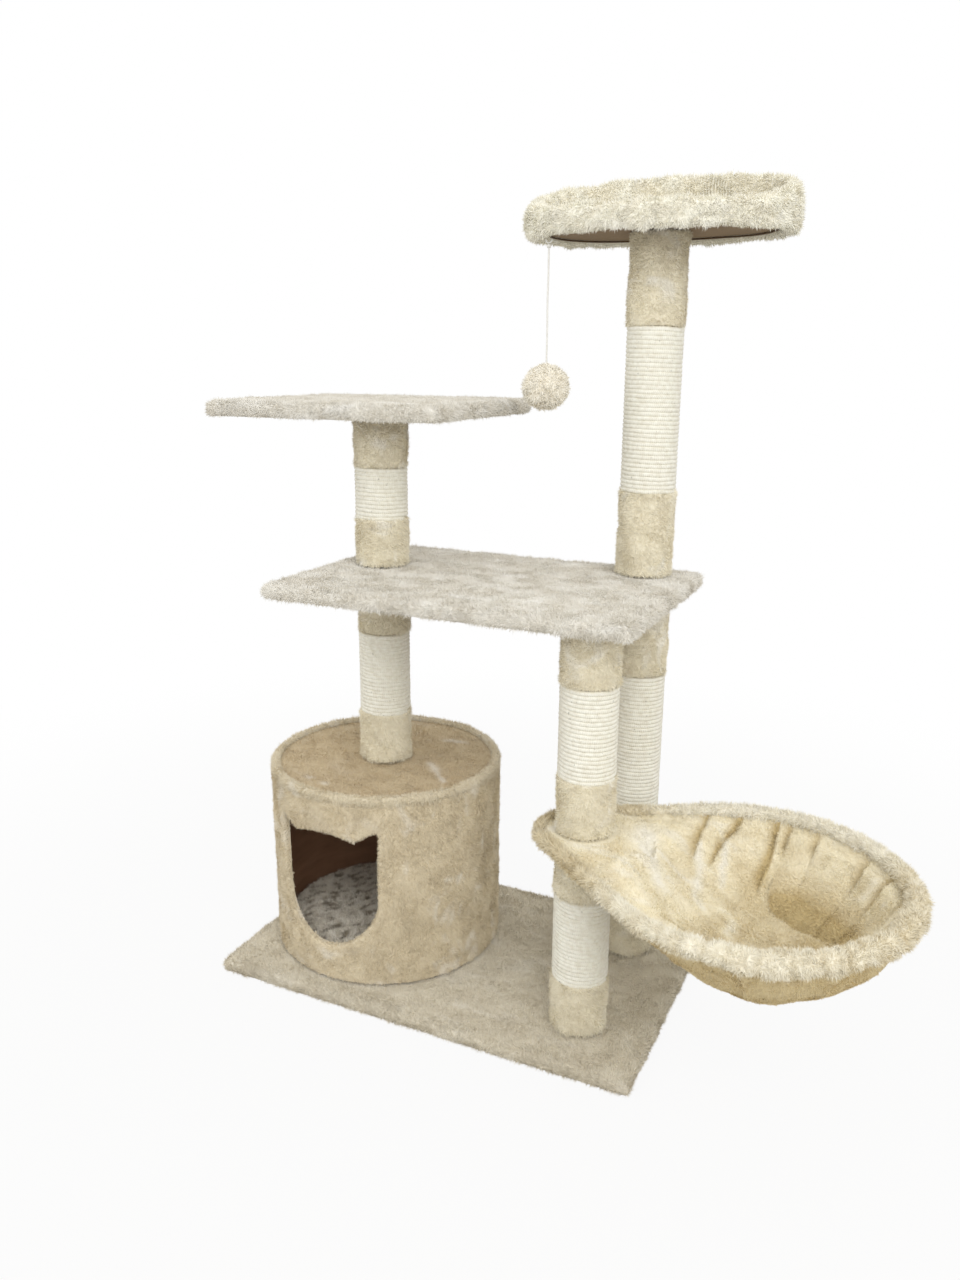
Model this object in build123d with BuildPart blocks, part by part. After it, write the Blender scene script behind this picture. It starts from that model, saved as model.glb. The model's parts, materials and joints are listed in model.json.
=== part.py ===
"""A cat tree: a plush-covered base, a round cat house, rope-wound posts, two platforms,
a hanging basket, a padded perch at the top and a pompom on a string.

Millimetres. X runs along the base's long side, Y to the back and Z up.
The origin is on the floor, at the middle of the base.
"""

from build123d import *
import math
import os

os.makedirs("parts", exist_ok=True)

# Boards, and the fabrics stretched over them
BOARD = 15.0
BOARD_CORNER = 10.0
PLUSH = 6.0
PLUSH_SLOPE = 3.0
HEM = 2.0
HEM_WIDTH = 32.0
SEAT = 0.2
RUN = 0.3
SIDES = 8

# The three rectangular boards and where they stand
BASE_LENGTH = 590.0
BASE_WIDTH = 360.0
MID_LENGTH = 468.0
MID_WIDTH = 315.0
MID_X = 34.0
MID_Y = -12.5
UPPER_LENGTH = 323.0
UPPER_WIDTH = 288.0
UPPER_X = -167.5
UPPER_Y = 42.5

# The three columns of posts
LEFT_X = -134.0
LEFT_Y = 3.0
RIGHT_X = 205.0
FRONT_Y = -99.0
REAR_Y = 102.0

# Posts: a cardboard tube, a plush sleeve at each end and rope between the sleeves
TUBE_DIAMETER = 60.0
TUBE_WALL = 4.0
SLEEVE_PLUSH = 8.5
SHORT_POST = 258.0
SHORT_SLEEVE = 72.0
LONG_SLEEVE = 113.0
UPPER_POST = 195.0
UPPER_SLEEVE = 64.0
TOP_POST = 418.0
TOP_SLEEVE = 109.0
ROPE_DEPTH = 4.8
ROPE_WIDTH = 14.2
ROPE_GAP = 0.6

# Fasteners: plugs in the tube ends, with bolts, studs and tee nuts
PLUG = 30.0
BOLT = 8.0
BOLT_GAP = 0.3
GRIP = 25.0
HEAD_DIAMETER = 20.0
HEAD = 4.0
NUT_BARREL = 11.0
NUT_LENGTH = 9.0
NUT_FLANGE_DIAMETER = 22.0
NUT_FLANGE = 1.6
SCREW = 4.0
SCREW_GRIP = 10.0
SCREW_HEAD_DIAMETER = 8.0
SCREW_HEAD = 3.0
SCREW_CIRCLE = 110.0
SCREW_COUNT = 4

# Cat house
HOUSE_RADIUS = 165.0
HOUSE_WALL = 4.0
HOUSE_FLOOR = 12.0
PIPING = 5.0
DOOR_WIDTH = 158.0
DOOR_SHIFT = -7.0
DOOR_SILL = 47.0
DOOR_BROW = 218.0
DOOR_DIP = 209.0
DOOR_EAR = 227.0
EAR_WIDTH = 33.0
EAR_ROUND = 6.0
CUSHION_GAP = 5.0
CUSHION_EDGE = 12.0
CUSHION_CROWN = 22.0

# Basket: a steel hoop round the front column, with a plush roll and a fabric bowl
BASKET_JOINT = 13.0
BASKET_ANGLE = -5.0
HOOP_ROD = 6.0
HOOP_RADIUS = 171.0
HOOP_REACH = 206.0
HOOP_NECK = 54.0
ROLL_DIAMETER = 26.0
PLATE = 3.0
PLATE_WIDTH = 40.0
BOWL_WALL = 6.0
BOWL_DEPTH = 104.0
BOWL_BELLY = 47.0
BOWL_FLANK = 83.0
BELLY_RADIUS = 145.0
FLANK_RADIUS = 112.0
BOTTOM_RADIUS = 70.0
BOWL_LEAN = 30.0

# Perch: an oval tray with a low front and a high back
PERCH_LENGTH = 330.0
PERCH_WIDTH = 216.0
PERCH_END_RADIUS = 100.0
PERCH_BOARD = 12.0
RIM = 26.0
RIM_DROP = 10.0
RIM_FRONT = 39.0
RIM_BACK = 92.0
RIM_RAMP_START = 62.0

# Pompom on its string, under the left front of the perch
TOY_ANGLE = 234.0
EYE_RADIUS = 4.0
EYE_THREAD = 1.8
KNOT_DIAMETER = 5.2
STRING_DIAMETER = 2.2
STRING_LENGTH = 132.0
POMPOM_DIAMETER = 58.0

# Heights that follow from the posts
LONG_POST = 2 * SHORT_POST + BASKET_JOINT
STACK = HEM + BOARD + PLUSH
BASE_TOP = STACK
MID_BOTTOM = BASE_TOP + LONG_POST
MID_TOP = MID_BOTTOM + STACK
UPPER_BOTTOM = MID_TOP + UPPER_POST
PERCH_BOTTOM = MID_TOP + TOP_POST
HOUSE_TOP = MID_BOTTOM - SHORT_POST
JOINT_BOTTOM = BASE_TOP + SHORT_POST
JOINT_MIDDLE = JOINT_BOTTOM + BASKET_JOINT / 2

# Columns, and radii that several pieces share
LEFT = (LEFT_X, LEFT_Y)
FRONT = (RIGHT_X, FRONT_Y)
REAR = (RIGHT_X, REAR_Y)
TUBE_RADIUS = TUBE_DIAMETER / 2
BORE_RADIUS = TUBE_RADIUS - TUBE_WALL
BOLT_HOLE = BOLT / 2 + BOLT_GAP
SCREW_HOLE = SCREW / 2 + SEAT
WALL_RADIUS = HOUSE_RADIUS - PLUSH
ROOM_RADIUS = WALL_RADIUS - HOUSE_WALL
WALL_TOP = HOUSE_TOP - PLUSH


def save(piece, name):
    """Label a finished piece and write it under its own name."""
    piece.part.label = name
    export_step(piece.part, f"parts/{name}.step")


def discs(places, radius, height):
    """Add a cylinder at each place, given as a column and a bottom height."""
    for column, bottom in places:
        with BuildSketch(Plane.XY.offset(bottom)) as outline:
            with Locations(column):
                Circle(radius)
        extrude(outline.sketch, amount=height)


def holes(places, radius, height):
    """Cut a round hole upwards from each place."""
    for column, bottom in places:
        with BuildSketch(Plane.XY.offset(bottom)) as outline:
            with Locations(column):
                Circle(radius)
        extrude(outline.sketch, amount=height, mode=Mode.SUBTRACT)


def at_height(columns, height):
    """Pair each column with the same height."""
    return [(column, height) for column in columns]


SCREW_PLACES = [
    (
        LEFT_X + SCREW_CIRCLE * math.cos(math.radians(360 * (i + 0.5) / SCREW_COUNT)),
        LEFT_Y + SCREW_CIRCLE * math.sin(math.radians(360 * (i + 0.5) / SCREW_COUNT)),
    )
    for i in range(SCREW_COUNT)
]


def covered_board(name, length, width, centre, bottom, bolts, screws, through, nuts):
    """Make a board, its plush cover and the lining that closes its underside.

    bolts and screws come up through the board from heads sunk in its underside,
    through marks columns with a stud right through, and nuts the columns that end
    in a tee nut.
    """
    board_bottom = bottom + HEM
    board_top = board_bottom + BOARD
    pierced = bolts + through

    with BuildPart() as board:
        with BuildSketch(Plane.XY.offset(board_bottom)):
            with Locations(centre):
                RectangleRounded(length, width, BOARD_CORNER)
        extrude(amount=BOARD)
        holes(at_height(pierced, board_bottom), BOLT_HOLE, BOARD)
        holes(at_height(nuts, board_bottom), NUT_BARREL / 2 + SEAT, BOARD)
        holes(at_height(bolts, board_bottom), HEAD_DIAMETER / 2 + SEAT, HEAD)
        holes(at_height(nuts, board_top - NUT_FLANGE), NUT_FLANGE_DIAMETER / 2 + SEAT, NUT_FLANGE)
        holes(at_height(screws, board_bottom), SCREW_HOLE, BOARD)
        holes(at_height(screws, board_bottom), SCREW_HEAD_DIAMETER / 2 + SEAT, SCREW_HEAD)
    save(board, name + "_board")

    with BuildPart() as cover:
        with BuildSketch(Plane.XY.offset(bottom)):
            with Locations(centre):
                RectangleRounded(length + 2 * PLUSH, width + 2 * PLUSH, BOARD_CORNER + PLUSH)
        extrude(amount=STACK)
        chamfer(cover.edges().group_by(Axis.Z)[-1], PLUSH_SLOPE)
        with BuildSketch(Plane.XY.offset(board_bottom)):
            with Locations(centre):
                RectangleRounded(length, width, BOARD_CORNER)
        extrude(amount=BOARD, mode=Mode.SUBTRACT)
        with BuildSketch(Plane.XY.offset(bottom)):
            with Locations(centre):
                RectangleRounded(length - 2 * HEM_WIDTH, width - 2 * HEM_WIDTH, BOARD_CORNER)
        extrude(amount=HEM, mode=Mode.SUBTRACT)
        holes(at_height(pierced, board_top), BOLT_HOLE, PLUSH)
        holes(at_height(screws, board_top), SCREW_HOLE, PLUSH)
    save(cover, name + "_cover")

    with BuildPart() as lining:
        with BuildSketch(Plane.XY.offset(bottom)):
            with Locations(centre):
                RectangleRounded(
                    length - 2 * HEM_WIDTH - 2 * SEAT,
                    width - 2 * HEM_WIDTH - 2 * SEAT,
                    BOARD_CORNER,
                )
        extrude(amount=HEM)
        holes(at_height(bolts, bottom), HEAD_DIAMETER / 2 + SEAT, HEM)
        holes(at_height(through + nuts, bottom), BOLT_HOLE, HEM)
        holes(at_height(screws, bottom), SCREW_HEAD_DIAMETER / 2 + SEAT, HEM)
    save(lining, name + "_lining")


# Base and platforms
covered_board("base", BASE_LENGTH, BASE_WIDTH, (0, 0), 0, [FRONT, REAR], SCREW_PLACES, [], [])
covered_board("mid", MID_LENGTH, MID_WIDTH, (MID_X, MID_Y), MID_BOTTOM, [], [], [LEFT, REAR], [FRONT])
covered_board(
    "upper", UPPER_LENGTH, UPPER_WIDTH, (UPPER_X, UPPER_Y), UPPER_BOTTOM, [], [], [], [LEFT]
)

# Posts, each with its column, the height of its foot, its length and its sleeves' length
POSTS = {
    "left_lower": (LEFT, HOUSE_TOP, SHORT_POST, SHORT_SLEEVE),
    "left_upper": (LEFT, MID_TOP, UPPER_POST, UPPER_SLEEVE),
    "front_lower": (FRONT, BASE_TOP, SHORT_POST, SHORT_SLEEVE),
    "front_upper": (FRONT, JOINT_BOTTOM + BASKET_JOINT, SHORT_POST, SHORT_SLEEVE),
    "rear_lower": (REAR, BASE_TOP, LONG_POST, LONG_SLEEVE),
    "top": (REAR, MID_TOP, TOP_POST, TOP_SLEEVE),
}


def ring(column, bottom, height, inner, outer):
    """Add a plain tube standing on the given height."""
    with BuildSketch(Plane.XY.offset(bottom)) as outline:
        with Locations(column):
            Circle(outer)
            Circle(inner, mode=Mode.SUBTRACT)
    extrude(outline.sketch, amount=height)


def sleeve(name, column, bottom, height):
    """Make a plush sleeve, pulled over a tube."""
    with BuildPart() as plush:
        ring(column, bottom, height, TUBE_RADIUS + SEAT, TUBE_RADIUS + SLEEVE_PLUSH)
    save(plush, name)


for post_name, (column, foot, length, sleeve_length) in POSTS.items():
    with BuildPart() as tube:
        ring(column, foot, length, BORE_RADIUS, TUBE_RADIUS)
    save(tube, post_name + "_tube")
    sleeve(post_name + "_lower_sleeve", column, foot, sleeve_length)
    sleeve(post_name + "_upper_sleeve", column, foot + length - sleeve_length, sleeve_length)

# Plugs pressed into both ends of every tube, each bored for a bolt
PLUG_FEET = []
for column, foot, length, sleeve_length in POSTS.values():
    PLUG_FEET.append((column, foot))
    PLUG_FEET.append((column, foot + length - PLUG))
with BuildPart() as plugs:
    discs(PLUG_FEET, BORE_RADIUS - SEAT, PLUG)
    holes(PLUG_FEET, BOLT_HOLE, PLUG)
save(plugs, "post_plugs")


def helix(turn, radius, pitch):
    """Place and direction on a rising coil, counted in turns."""
    angle = 2 * math.pi * turn
    place = Vector(radius * math.cos(angle), radius * math.sin(angle), pitch * turn)
    around = Vector(-math.sin(angle), math.cos(angle), 0) * (2 * math.pi * radius)
    return place, (around + Vector(0, 0, pitch)).normalized()


def biarc_middle(start, start_way, end, end_way):
    """Where two arcs that carry on from each other meet, and the way they run there."""
    span = end - start
    ways = start_way + end_way
    square = ways.dot(ways) - 4
    linear = -2 * span.dot(ways)
    root = math.sqrt(linear**2 - 4 * square * span.dot(span))
    reach = max((-linear - root) / (2 * square), (-linear + root) / (2 * square))
    near = start + start_way * reach
    far = end - end_way * reach
    return (near + far) * 0.5, (far - near).normalized()


# Rope wound on every post between its sleeves, each winding one unbroken length
ROPE_INNER = TUBE_RADIUS + SEAT
ROPE_OUTER = TUBE_RADIUS + ROPE_DEPTH + SEAT
ROPE_MIDDLE = (ROPE_INNER + ROPE_OUTER) / 2
TURN_POINTS = 24


def rope_gap(pitch):
    """Least gap between one turn's top edge and the next turn's bottom edge, on points."""
    half_width = Vector(0, 0, ROPE_WIDTH / 2)
    turns = [i / TURN_POINTS for i in range(TURN_POINTS)]
    top_edge = [helix(turn, ROPE_INNER, pitch)[0] + half_width for turn in turns]
    next_edge = [helix(turn + 1, ROPE_INNER, pitch)[0] - half_width for turn in turns]
    return min((upper - lower).length for upper in next_edge for lower in top_edge)


def winding(name, column, bottom, height):
    """Add one winding of half-turn arcs that fills the height between two sleeves."""
    rise = height - ROPE_WIDTH - 2 * SEAT
    half_turns = math.floor(2 * rise / (ROPE_WIDTH + ROPE_GAP))
    pitch = 2 * rise / half_turns
    foot = Vector(column[0], column[1], bottom + SEAT + ROPE_WIDTH / 2)
    with BuildLine() as path:
        for i in range(half_turns):
            start, start_way = helix(i / 2, ROPE_MIDDLE, pitch)
            end, end_way = helix((i + 1) / 2, ROPE_MIDDLE, pitch)
            middle, middle_way = biarc_middle(start, start_way, end, end_way)
            TangentArc(foot + start, foot + middle, tangent=start_way)
            TangentArc(foot + middle, foot + end, tangent=middle_way)
    with BuildLine(mode=Mode.PRIVATE) as axis:
        Line(foot, foot + Vector(0, 0, rise))
    with BuildSketch(Plane(origin=foot, x_dir=(1, 0, 0), z_dir=(0, -1, 0))) as section:
        with BuildLine():
            Polyline(
                (ROPE_INNER, -ROPE_WIDTH / 2),
                (ROPE_INNER, ROPE_WIDTH / 2),
                (ROPE_OUTER, 0),
                close=True,
            )
        make_face()
    sweep(sections=section.sketch, path=path.line, binormal=axis.line.edges()[0])
    print(f"{name} rope: {half_turns / 2} turns, pitch {pitch:.2f}, least gap {rope_gap(pitch):.2f}")


with BuildPart() as ropes:
    for post_name, (column, foot, length, sleeve_length) in POSTS.items():
        winding(post_name, column, foot + sleeve_length, length - 2 * sleeve_length)
save(ropes, "sisal_ropes")

# Bolts with sunk flat heads: two hold posts to the base, one holds a post to the house
BOLT_FEET = [(FRONT, HEM), (REAR, HEM), (LEFT, WALL_TOP - BOARD)]
with BuildPart() as bolts:
    discs(BOLT_FEET, HEAD_DIAMETER / 2, HEAD - SEAT)
    discs(BOLT_FEET, BOLT / 2, BOARD + PLUSH + GRIP)
save(bolts, "post_bolts")

# Studs that carry a post on through the middle platform
with BuildPart() as through_studs:
    discs([(LEFT, MID_BOTTOM - GRIP), (REAR, MID_BOTTOM - GRIP)], BOLT / 2, GRIP + STACK + GRIP)
save(through_studs, "platform_studs")

# Studs that end in a tee nut, under the middle platform, the upper platform and the perch
NUT_SEATS = [
    (FRONT, MID_BOTTOM + HEM + BOARD),
    (LEFT, UPPER_BOTTOM + HEM + BOARD),
    (REAR, PERCH_BOTTOM + HEM + PERCH_BOARD),
]
END_STUD_FEET = [
    (FRONT, MID_BOTTOM - GRIP),
    (LEFT, UPPER_BOTTOM - GRIP),
    (REAR, PERCH_BOTTOM - GRIP),
]
with BuildPart() as end_studs:
    discs(END_STUD_FEET, BOLT / 2, GRIP + HEM + PERCH_BOARD - NUT_FLANGE)
save(end_studs, "end_studs")

with BuildPart() as nuts:
    for column, top in NUT_SEATS:
        ring(column, top - NUT_FLANGE, NUT_FLANGE, BOLT_HOLE, NUT_FLANGE_DIAMETER / 2)
        ring(column, top - NUT_LENGTH, NUT_LENGTH, BOLT_HOLE, NUT_BARREL / 2)
save(nuts, "tee_nuts")

# Cat house: floor, wall with a doorway shaped like a cat's head, cover, lid and cushion
FLOOR_TOP = BASE_TOP + HOUSE_FLOOR
with BuildPart() as house_floor:
    discs([(LEFT, BASE_TOP)], ROOM_RADIUS - SEAT, HOUSE_FLOOR)
    holes(at_height(SCREW_PLACES, BASE_TOP), SCREW_HOLE, HOUSE_FLOOR)
save(house_floor, "house_floor")

with BuildPart() as screws:
    discs(at_height(SCREW_PLACES, HEM), SCREW_HEAD_DIAMETER / 2, SCREW_HEAD - SEAT)
    discs(at_height(SCREW_PLACES, HEM), SCREW / 2, BOARD + PLUSH + SCREW_GRIP)
save(screws, "house_screws")


def doorway():
    """Cut the doorway to the front: a round chin, straight cheeks and two ears."""
    cheek = DOOR_WIDTH / 2
    chin = DOOR_SILL + cheek
    front = Plane(origin=(LEFT_X + DOOR_SHIFT, LEFT_Y, BASE_TOP), x_dir=(1, 0, 0), z_dir=(0, -1, 0))
    with BuildSketch(front) as opening:
        with BuildLine():
            ThreePointArc((-cheek, chin), (0, DOOR_SILL), (cheek, chin))
            Line((cheek, chin), (cheek, DOOR_EAR))
            Line((cheek, DOOR_EAR), (cheek - EAR_WIDTH, DOOR_DIP))
            ThreePointArc((cheek - EAR_WIDTH, DOOR_DIP), (0, DOOR_BROW), (EAR_WIDTH - cheek, DOOR_DIP))
            Line((EAR_WIDTH - cheek, DOOR_DIP), (-cheek, DOOR_EAR))
            Line((-cheek, DOOR_EAR), (-cheek, chin))
        make_face()
        fillet(opening.vertices().group_by(Axis.Z)[-1], EAR_ROUND)
    extrude(opening.sketch, amount=HOUSE_RADIUS + PLUSH, mode=Mode.SUBTRACT)


with BuildPart() as house_wall:
    ring(LEFT, BASE_TOP, WALL_TOP - BASE_TOP, ROOM_RADIUS, WALL_RADIUS)
    doorway()
save(house_wall, "house_wall")

with BuildPart() as house_cover:
    ring(LEFT, BASE_TOP, WALL_TOP - BASE_TOP, WALL_RADIUS + SEAT, HOUSE_RADIUS)
    doorway()
save(house_cover, "house_cover")

with BuildPart() as house_lid:
    discs([(LEFT, WALL_TOP - BOARD)], ROOM_RADIUS - SEAT, BOARD)
    holes([(LEFT, WALL_TOP - BOARD)], BOLT_HOLE, BOARD)
    holes([(LEFT, WALL_TOP - BOARD)], HEAD_DIAMETER / 2 + SEAT, HEAD)
save(house_lid, "house_lid")

with BuildPart() as lid_cover:
    discs([(LEFT, WALL_TOP)], ROOM_RADIUS - SEAT, PLUSH)
    holes([(LEFT, WALL_TOP)], BOLT_HOLE, PLUSH)
save(lid_cover, "house_lid_cover")

with BuildPart() as piping:
    with BuildSketch(Plane(origin=(LEFT_X, LEFT_Y, WALL_TOP), x_dir=(1, 0, 0), z_dir=(0, -1, 0))):
        with Locations((ROOM_RADIUS + PIPING, PIPING)):
            RegularPolygon(PIPING, SIDES)
    revolve(axis=Axis((LEFT_X, LEFT_Y, 0), (0, 0, 1)))
save(piping, "house_piping")

CUSHION_RADIUS = ROOM_RADIUS - CUSHION_GAP
with BuildPart() as cushion:
    with BuildSketch(Plane(origin=(LEFT_X, LEFT_Y, FLOOR_TOP), x_dir=(1, 0, 0), z_dir=(0, -1, 0))):
        with BuildLine():
            crown_rise = CUSHION_CROWN - CUSHION_EDGE
            Polyline(
                (0, 0),
                (CUSHION_RADIUS - CUSHION_EDGE / 2, 0),
                (CUSHION_RADIUS, CUSHION_EDGE / 2),
                (CUSHION_RADIUS - CUSHION_EDGE / 4, CUSHION_EDGE),
                (CUSHION_RADIUS * 2 / 3, CUSHION_EDGE + crown_rise * 5 / 9),
                (CUSHION_RADIUS / 3, CUSHION_EDGE + crown_rise * 8 / 9),
                (0, CUSHION_CROWN),
                close=True,
            )
        make_face()
    revolve(axis=Axis((LEFT_X, LEFT_Y, 0), (0, 0, 1)))
save(cushion, "house_cushion")

# Basket, on a plane through the middle of the joint in the front column
BASKET_WAY = (math.cos(math.radians(BASKET_ANGLE)), math.sin(math.radians(BASKET_ANGLE)), 0)
BASKET_PLANE = Plane(origin=(RIGHT_X, FRONT_Y, JOINT_MIDDLE), x_dir=BASKET_WAY, z_dir=(0, 0, 1))
ROLL_RADIUS = ROLL_DIAMETER / 2
NECK_HEIGHT = BASKET_JOINT - 2 * RUN


def teardrop(reach, large, small):
    """Draw a large arc at some reach, a small arc round the column and both tangents."""
    lean = math.asin((large - small) / reach)
    side = math.cos(lean)
    back = -math.sin(lean)
    small_point = (small * back, small * side)
    large_point = (reach + large * back, large * side)
    small_mirror = (small_point[0], -small_point[1])
    large_mirror = (large_point[0], -large_point[1])
    Line(small_point, large_point)
    ThreePointArc(large_point, (reach + large, 0), large_mirror)
    Line(large_mirror, small_mirror)
    ThreePointArc(small_mirror, (-small, 0), small_point)


def ring_along_hoop(radius, mode=Mode.ADD):
    """Sweep a round section along the hoop."""
    with BuildLine(BASKET_PLANE) as path:
        teardrop(HOOP_REACH, HOOP_RADIUS, HOOP_NECK)
    with BuildSketch(Plane(origin=path.line @ 0, z_dir=path.line % 0)) as section:
        RegularPolygon(radius, SIDES)
    sweep(sections=section.sketch, path=path.line, mode=mode)


def plate(clearance, mode=Mode.ADD):
    """Add the flat bar across the hoop's neck, or the room for it."""
    rod_inside = HOOP_ROD / 2 + SEAT - clearance
    with BuildSketch(BASKET_PLANE.offset(-PLATE / 2 - clearance)) as outline:
        with BuildLine():
            teardrop(HOOP_REACH, HOOP_RADIUS - rod_inside, HOOP_NECK - rod_inside)
        make_face()
        Rectangle(PLATE_WIDTH + 2 * clearance, 4 * HOOP_NECK, mode=Mode.INTERSECT)
    extrude(outline.sketch, amount=PLATE + 2 * clearance, mode=mode)


with BuildPart() as hoop:
    ring_along_hoop(HOOP_ROD / 2)
save(hoop, "basket_hoop")

with BuildPart() as basket_plate:
    plate(0)
    holes([(FRONT, JOINT_BOTTOM)], BOLT_HOLE, BASKET_JOINT)
save(basket_plate, "basket_plate")

with BuildPart() as roll:
    ring_along_hoop(ROLL_RADIUS)
    ring_along_hoop(HOOP_ROD / 2 + SEAT, mode=Mode.SUBTRACT)
    plate(SEAT, mode=Mode.SUBTRACT)
save(roll, "basket_roll")

BOWL_RADIUS = HOOP_RADIUS - ROLL_RADIUS - SEAT
BOWL_SECTIONS = [
    (0, BOWL_RADIUS, 0),
    (BOWL_BELLY, BELLY_RADIUS, BOWL_LEAN / 3),
    (BOWL_FLANK, FLANK_RADIUS, BOWL_LEAN * 2 / 3),
    (BOWL_DEPTH, BOTTOM_RADIUS, BOWL_LEAN),
]


with BuildPart() as fabric:
    with BuildSketch(BASKET_PLANE.offset(-NECK_HEIGHT / 2)):
        with BuildLine():
            neck_inset = ROLL_RADIUS + SEAT
            teardrop(HOOP_REACH, HOOP_RADIUS - neck_inset, HOOP_NECK - neck_inset)
        make_face()
    extrude(amount=NECK_HEIGHT)
    for depth, radius, lean in BOWL_SECTIONS:
        with BuildSketch(BASKET_PLANE.offset(-depth)):
            with Locations((HOOP_REACH + lean, 0)):
                Circle(radius)
    loft(ruled=True)
    for depth, radius, lean in BOWL_SECTIONS:
        with BuildSketch(BASKET_PLANE.offset(BOWL_WALL - depth)):
            with Locations((HOOP_REACH + lean, 0)):
                Circle(radius - BOWL_WALL)
    loft(ruled=True, mode=Mode.SUBTRACT)
    with BuildSketch(BASKET_PLANE.offset(BOWL_WALL)):
        with Locations((HOOP_REACH, 0)):
            Circle(BOWL_RADIUS - BOWL_WALL)
    extrude(amount=NECK_HEIGHT, mode=Mode.SUBTRACT)
    plate(SEAT, mode=Mode.SUBTRACT)
    holes([(FRONT, JOINT_BOTTOM)], BOLT_HOLE, BASKET_JOINT)
save(fabric, "basket_fabric")

with BuildPart() as basket_stud:
    discs([(FRONT, JOINT_BOTTOM - GRIP)], BOLT / 2, GRIP + BASKET_JOINT + GRIP)
save(basket_stud, "basket_stud")

# Perch, centred on the rear column
PERCH_END = PERCH_LENGTH / 2 - PERCH_END_RADIUS


def oval(inset):
    """Draw the perch's outline: two end arcs joined by two flat side arcs."""
    half_width = PERCH_WIDTH / 2 - inset
    end_radius = PERCH_END_RADIUS - inset
    spare = half_width - end_radius
    side_depth = (PERCH_END**2 - spare**2) / (2 * spare)
    side_radius = half_width + side_depth
    slope = math.atan2(side_depth, PERCH_END)
    join_x = side_radius * math.cos(slope)
    join_y = side_radius * math.sin(slope) - side_depth
    end_x = PERCH_LENGTH / 2 - inset
    ThreePointArc((-join_x, join_y), (0, half_width), (join_x, join_y))
    ThreePointArc((join_x, join_y), (end_x, 0), (join_x, -join_y))
    ThreePointArc((join_x, -join_y), (0, -half_width), (-join_x, -join_y))
    ThreePointArc((-join_x, -join_y), (-end_x, 0), (-join_x, join_y))


def oval_slab(inset, bottom, height, mode=Mode.ADD):
    """Add or cut a slab with the perch's outline."""
    with BuildSketch(Plane((RIGHT_X, REAR_Y, bottom))) as outline:
        with BuildLine():
            oval(inset)
        make_face()
    extrude(outline.sketch, amount=height, mode=mode)


PERCH_BOARD_BOTTOM = PERCH_BOTTOM + HEM
PERCH_BOARD_TOP = PERCH_BOARD_BOTTOM + PERCH_BOARD
RIM_BOTTOM = PERCH_BOTTOM - RIM_DROP
BOARD_INSET = RIM + SEAT

with BuildPart() as perch_board:
    oval_slab(BOARD_INSET, PERCH_BOARD_BOTTOM, PERCH_BOARD)
    holes([(REAR, PERCH_BOARD_BOTTOM)], NUT_BARREL / 2 + SEAT, PERCH_BOARD)
    holes([(REAR, PERCH_BOARD_TOP - NUT_FLANGE)], NUT_FLANGE_DIAMETER / 2 + SEAT, NUT_FLANGE)
save(perch_board, "perch_board")

with BuildPart() as perch_lining:
    oval_slab(BOARD_INSET, PERCH_BOTTOM, HEM)
    holes([(REAR, PERCH_BOTTOM)], BOLT_HOLE, HEM)
save(perch_lining, "perch_lining")

with BuildPart() as perch_pad:
    oval_slab(BOARD_INSET, PERCH_BOARD_TOP, PLUSH)
save(perch_pad, "perch_pad")

with BuildPart() as rim:
    oval_slab(0, RIM_BOTTOM, RIM_BACK)
    oval_slab(RIM, RIM_BOTTOM, RIM_BACK, mode=Mode.SUBTRACT)
    with BuildSketch(Plane(origin=(RIGHT_X, REAR_Y, RIM_BOTTOM), x_dir=(0, 1, 0), z_dir=(1, 0, 0))):
        with BuildLine():
            far = PERCH_WIDTH / 2
            Polyline(
                (-far, RIM_FRONT),
                (-RIM_RAMP_START, RIM_FRONT),
                (far, RIM_BACK),
                (far, RIM_BACK + RIM),
                (-far, RIM_BACK + RIM),
                close=True,
            )
        make_face()
    extrude(amount=PERCH_LENGTH, both=True, mode=Mode.SUBTRACT)
save(rim, "perch_rim")

# Toy: a thread eye under the rim, a knot hanging on it, the string and the pompom
TOY_RADIUS = PERCH_END_RADIUS - RIM / 2
TOY_X = RIGHT_X - PERCH_END + TOY_RADIUS * math.cos(math.radians(TOY_ANGLE))
TOY_Y = REAR_Y + TOY_RADIUS * math.sin(math.radians(TOY_ANGLE))
EYE_BOTTOM = RIM_BOTTOM - EYE_RADIUS
KNOT_CENTRE = EYE_BOTTOM - EYE_THREAD / 2 - RUN - KNOT_DIAMETER / 2
STRING_TOP = KNOT_CENTRE - KNOT_DIAMETER / 2 - RUN
STRING_BOTTOM = STRING_TOP - STRING_LENGTH
POMPOM_CENTRE = STRING_BOTTOM - SEAT / 2 - POMPOM_DIAMETER / 2

with BuildPart() as eye:
    with BuildLine(Plane((TOY_X, TOY_Y, RIM_BOTTOM), x_dir=(1, 0, 0), z_dir=(0, -1, 0))) as eye_path:
        ThreePointArc((-EYE_RADIUS, 0), (0, -EYE_RADIUS), (EYE_RADIUS, 0))
    with BuildSketch(Plane(origin=eye_path.line @ 0, z_dir=eye_path.line % 0)) as eye_section:
        RegularPolygon(EYE_THREAD / 2, SIDES)
    sweep(sections=eye_section.sketch, path=eye_path.line)
save(eye, "toy_eye")


def ball(height, diameter):
    """Turn a many-sided ball about the string's line, flat where the string meets it."""
    with BuildSketch(Plane((TOY_X, TOY_Y, height), x_dir=(1, 0, 0), z_dir=(0, -1, 0))) as half:
        RegularPolygon(diameter / 2, SIDES + 2, major_radius=False)
        with Locations((-diameter / 2, 0)):
            Rectangle(diameter, 2 * diameter, mode=Mode.SUBTRACT)
    revolve(half.sketch, axis=Axis((TOY_X, TOY_Y, 0), (0, 0, 1)))


with BuildPart() as knot:
    ball(KNOT_CENTRE, KNOT_DIAMETER)
save(knot, "toy_knot")

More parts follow.
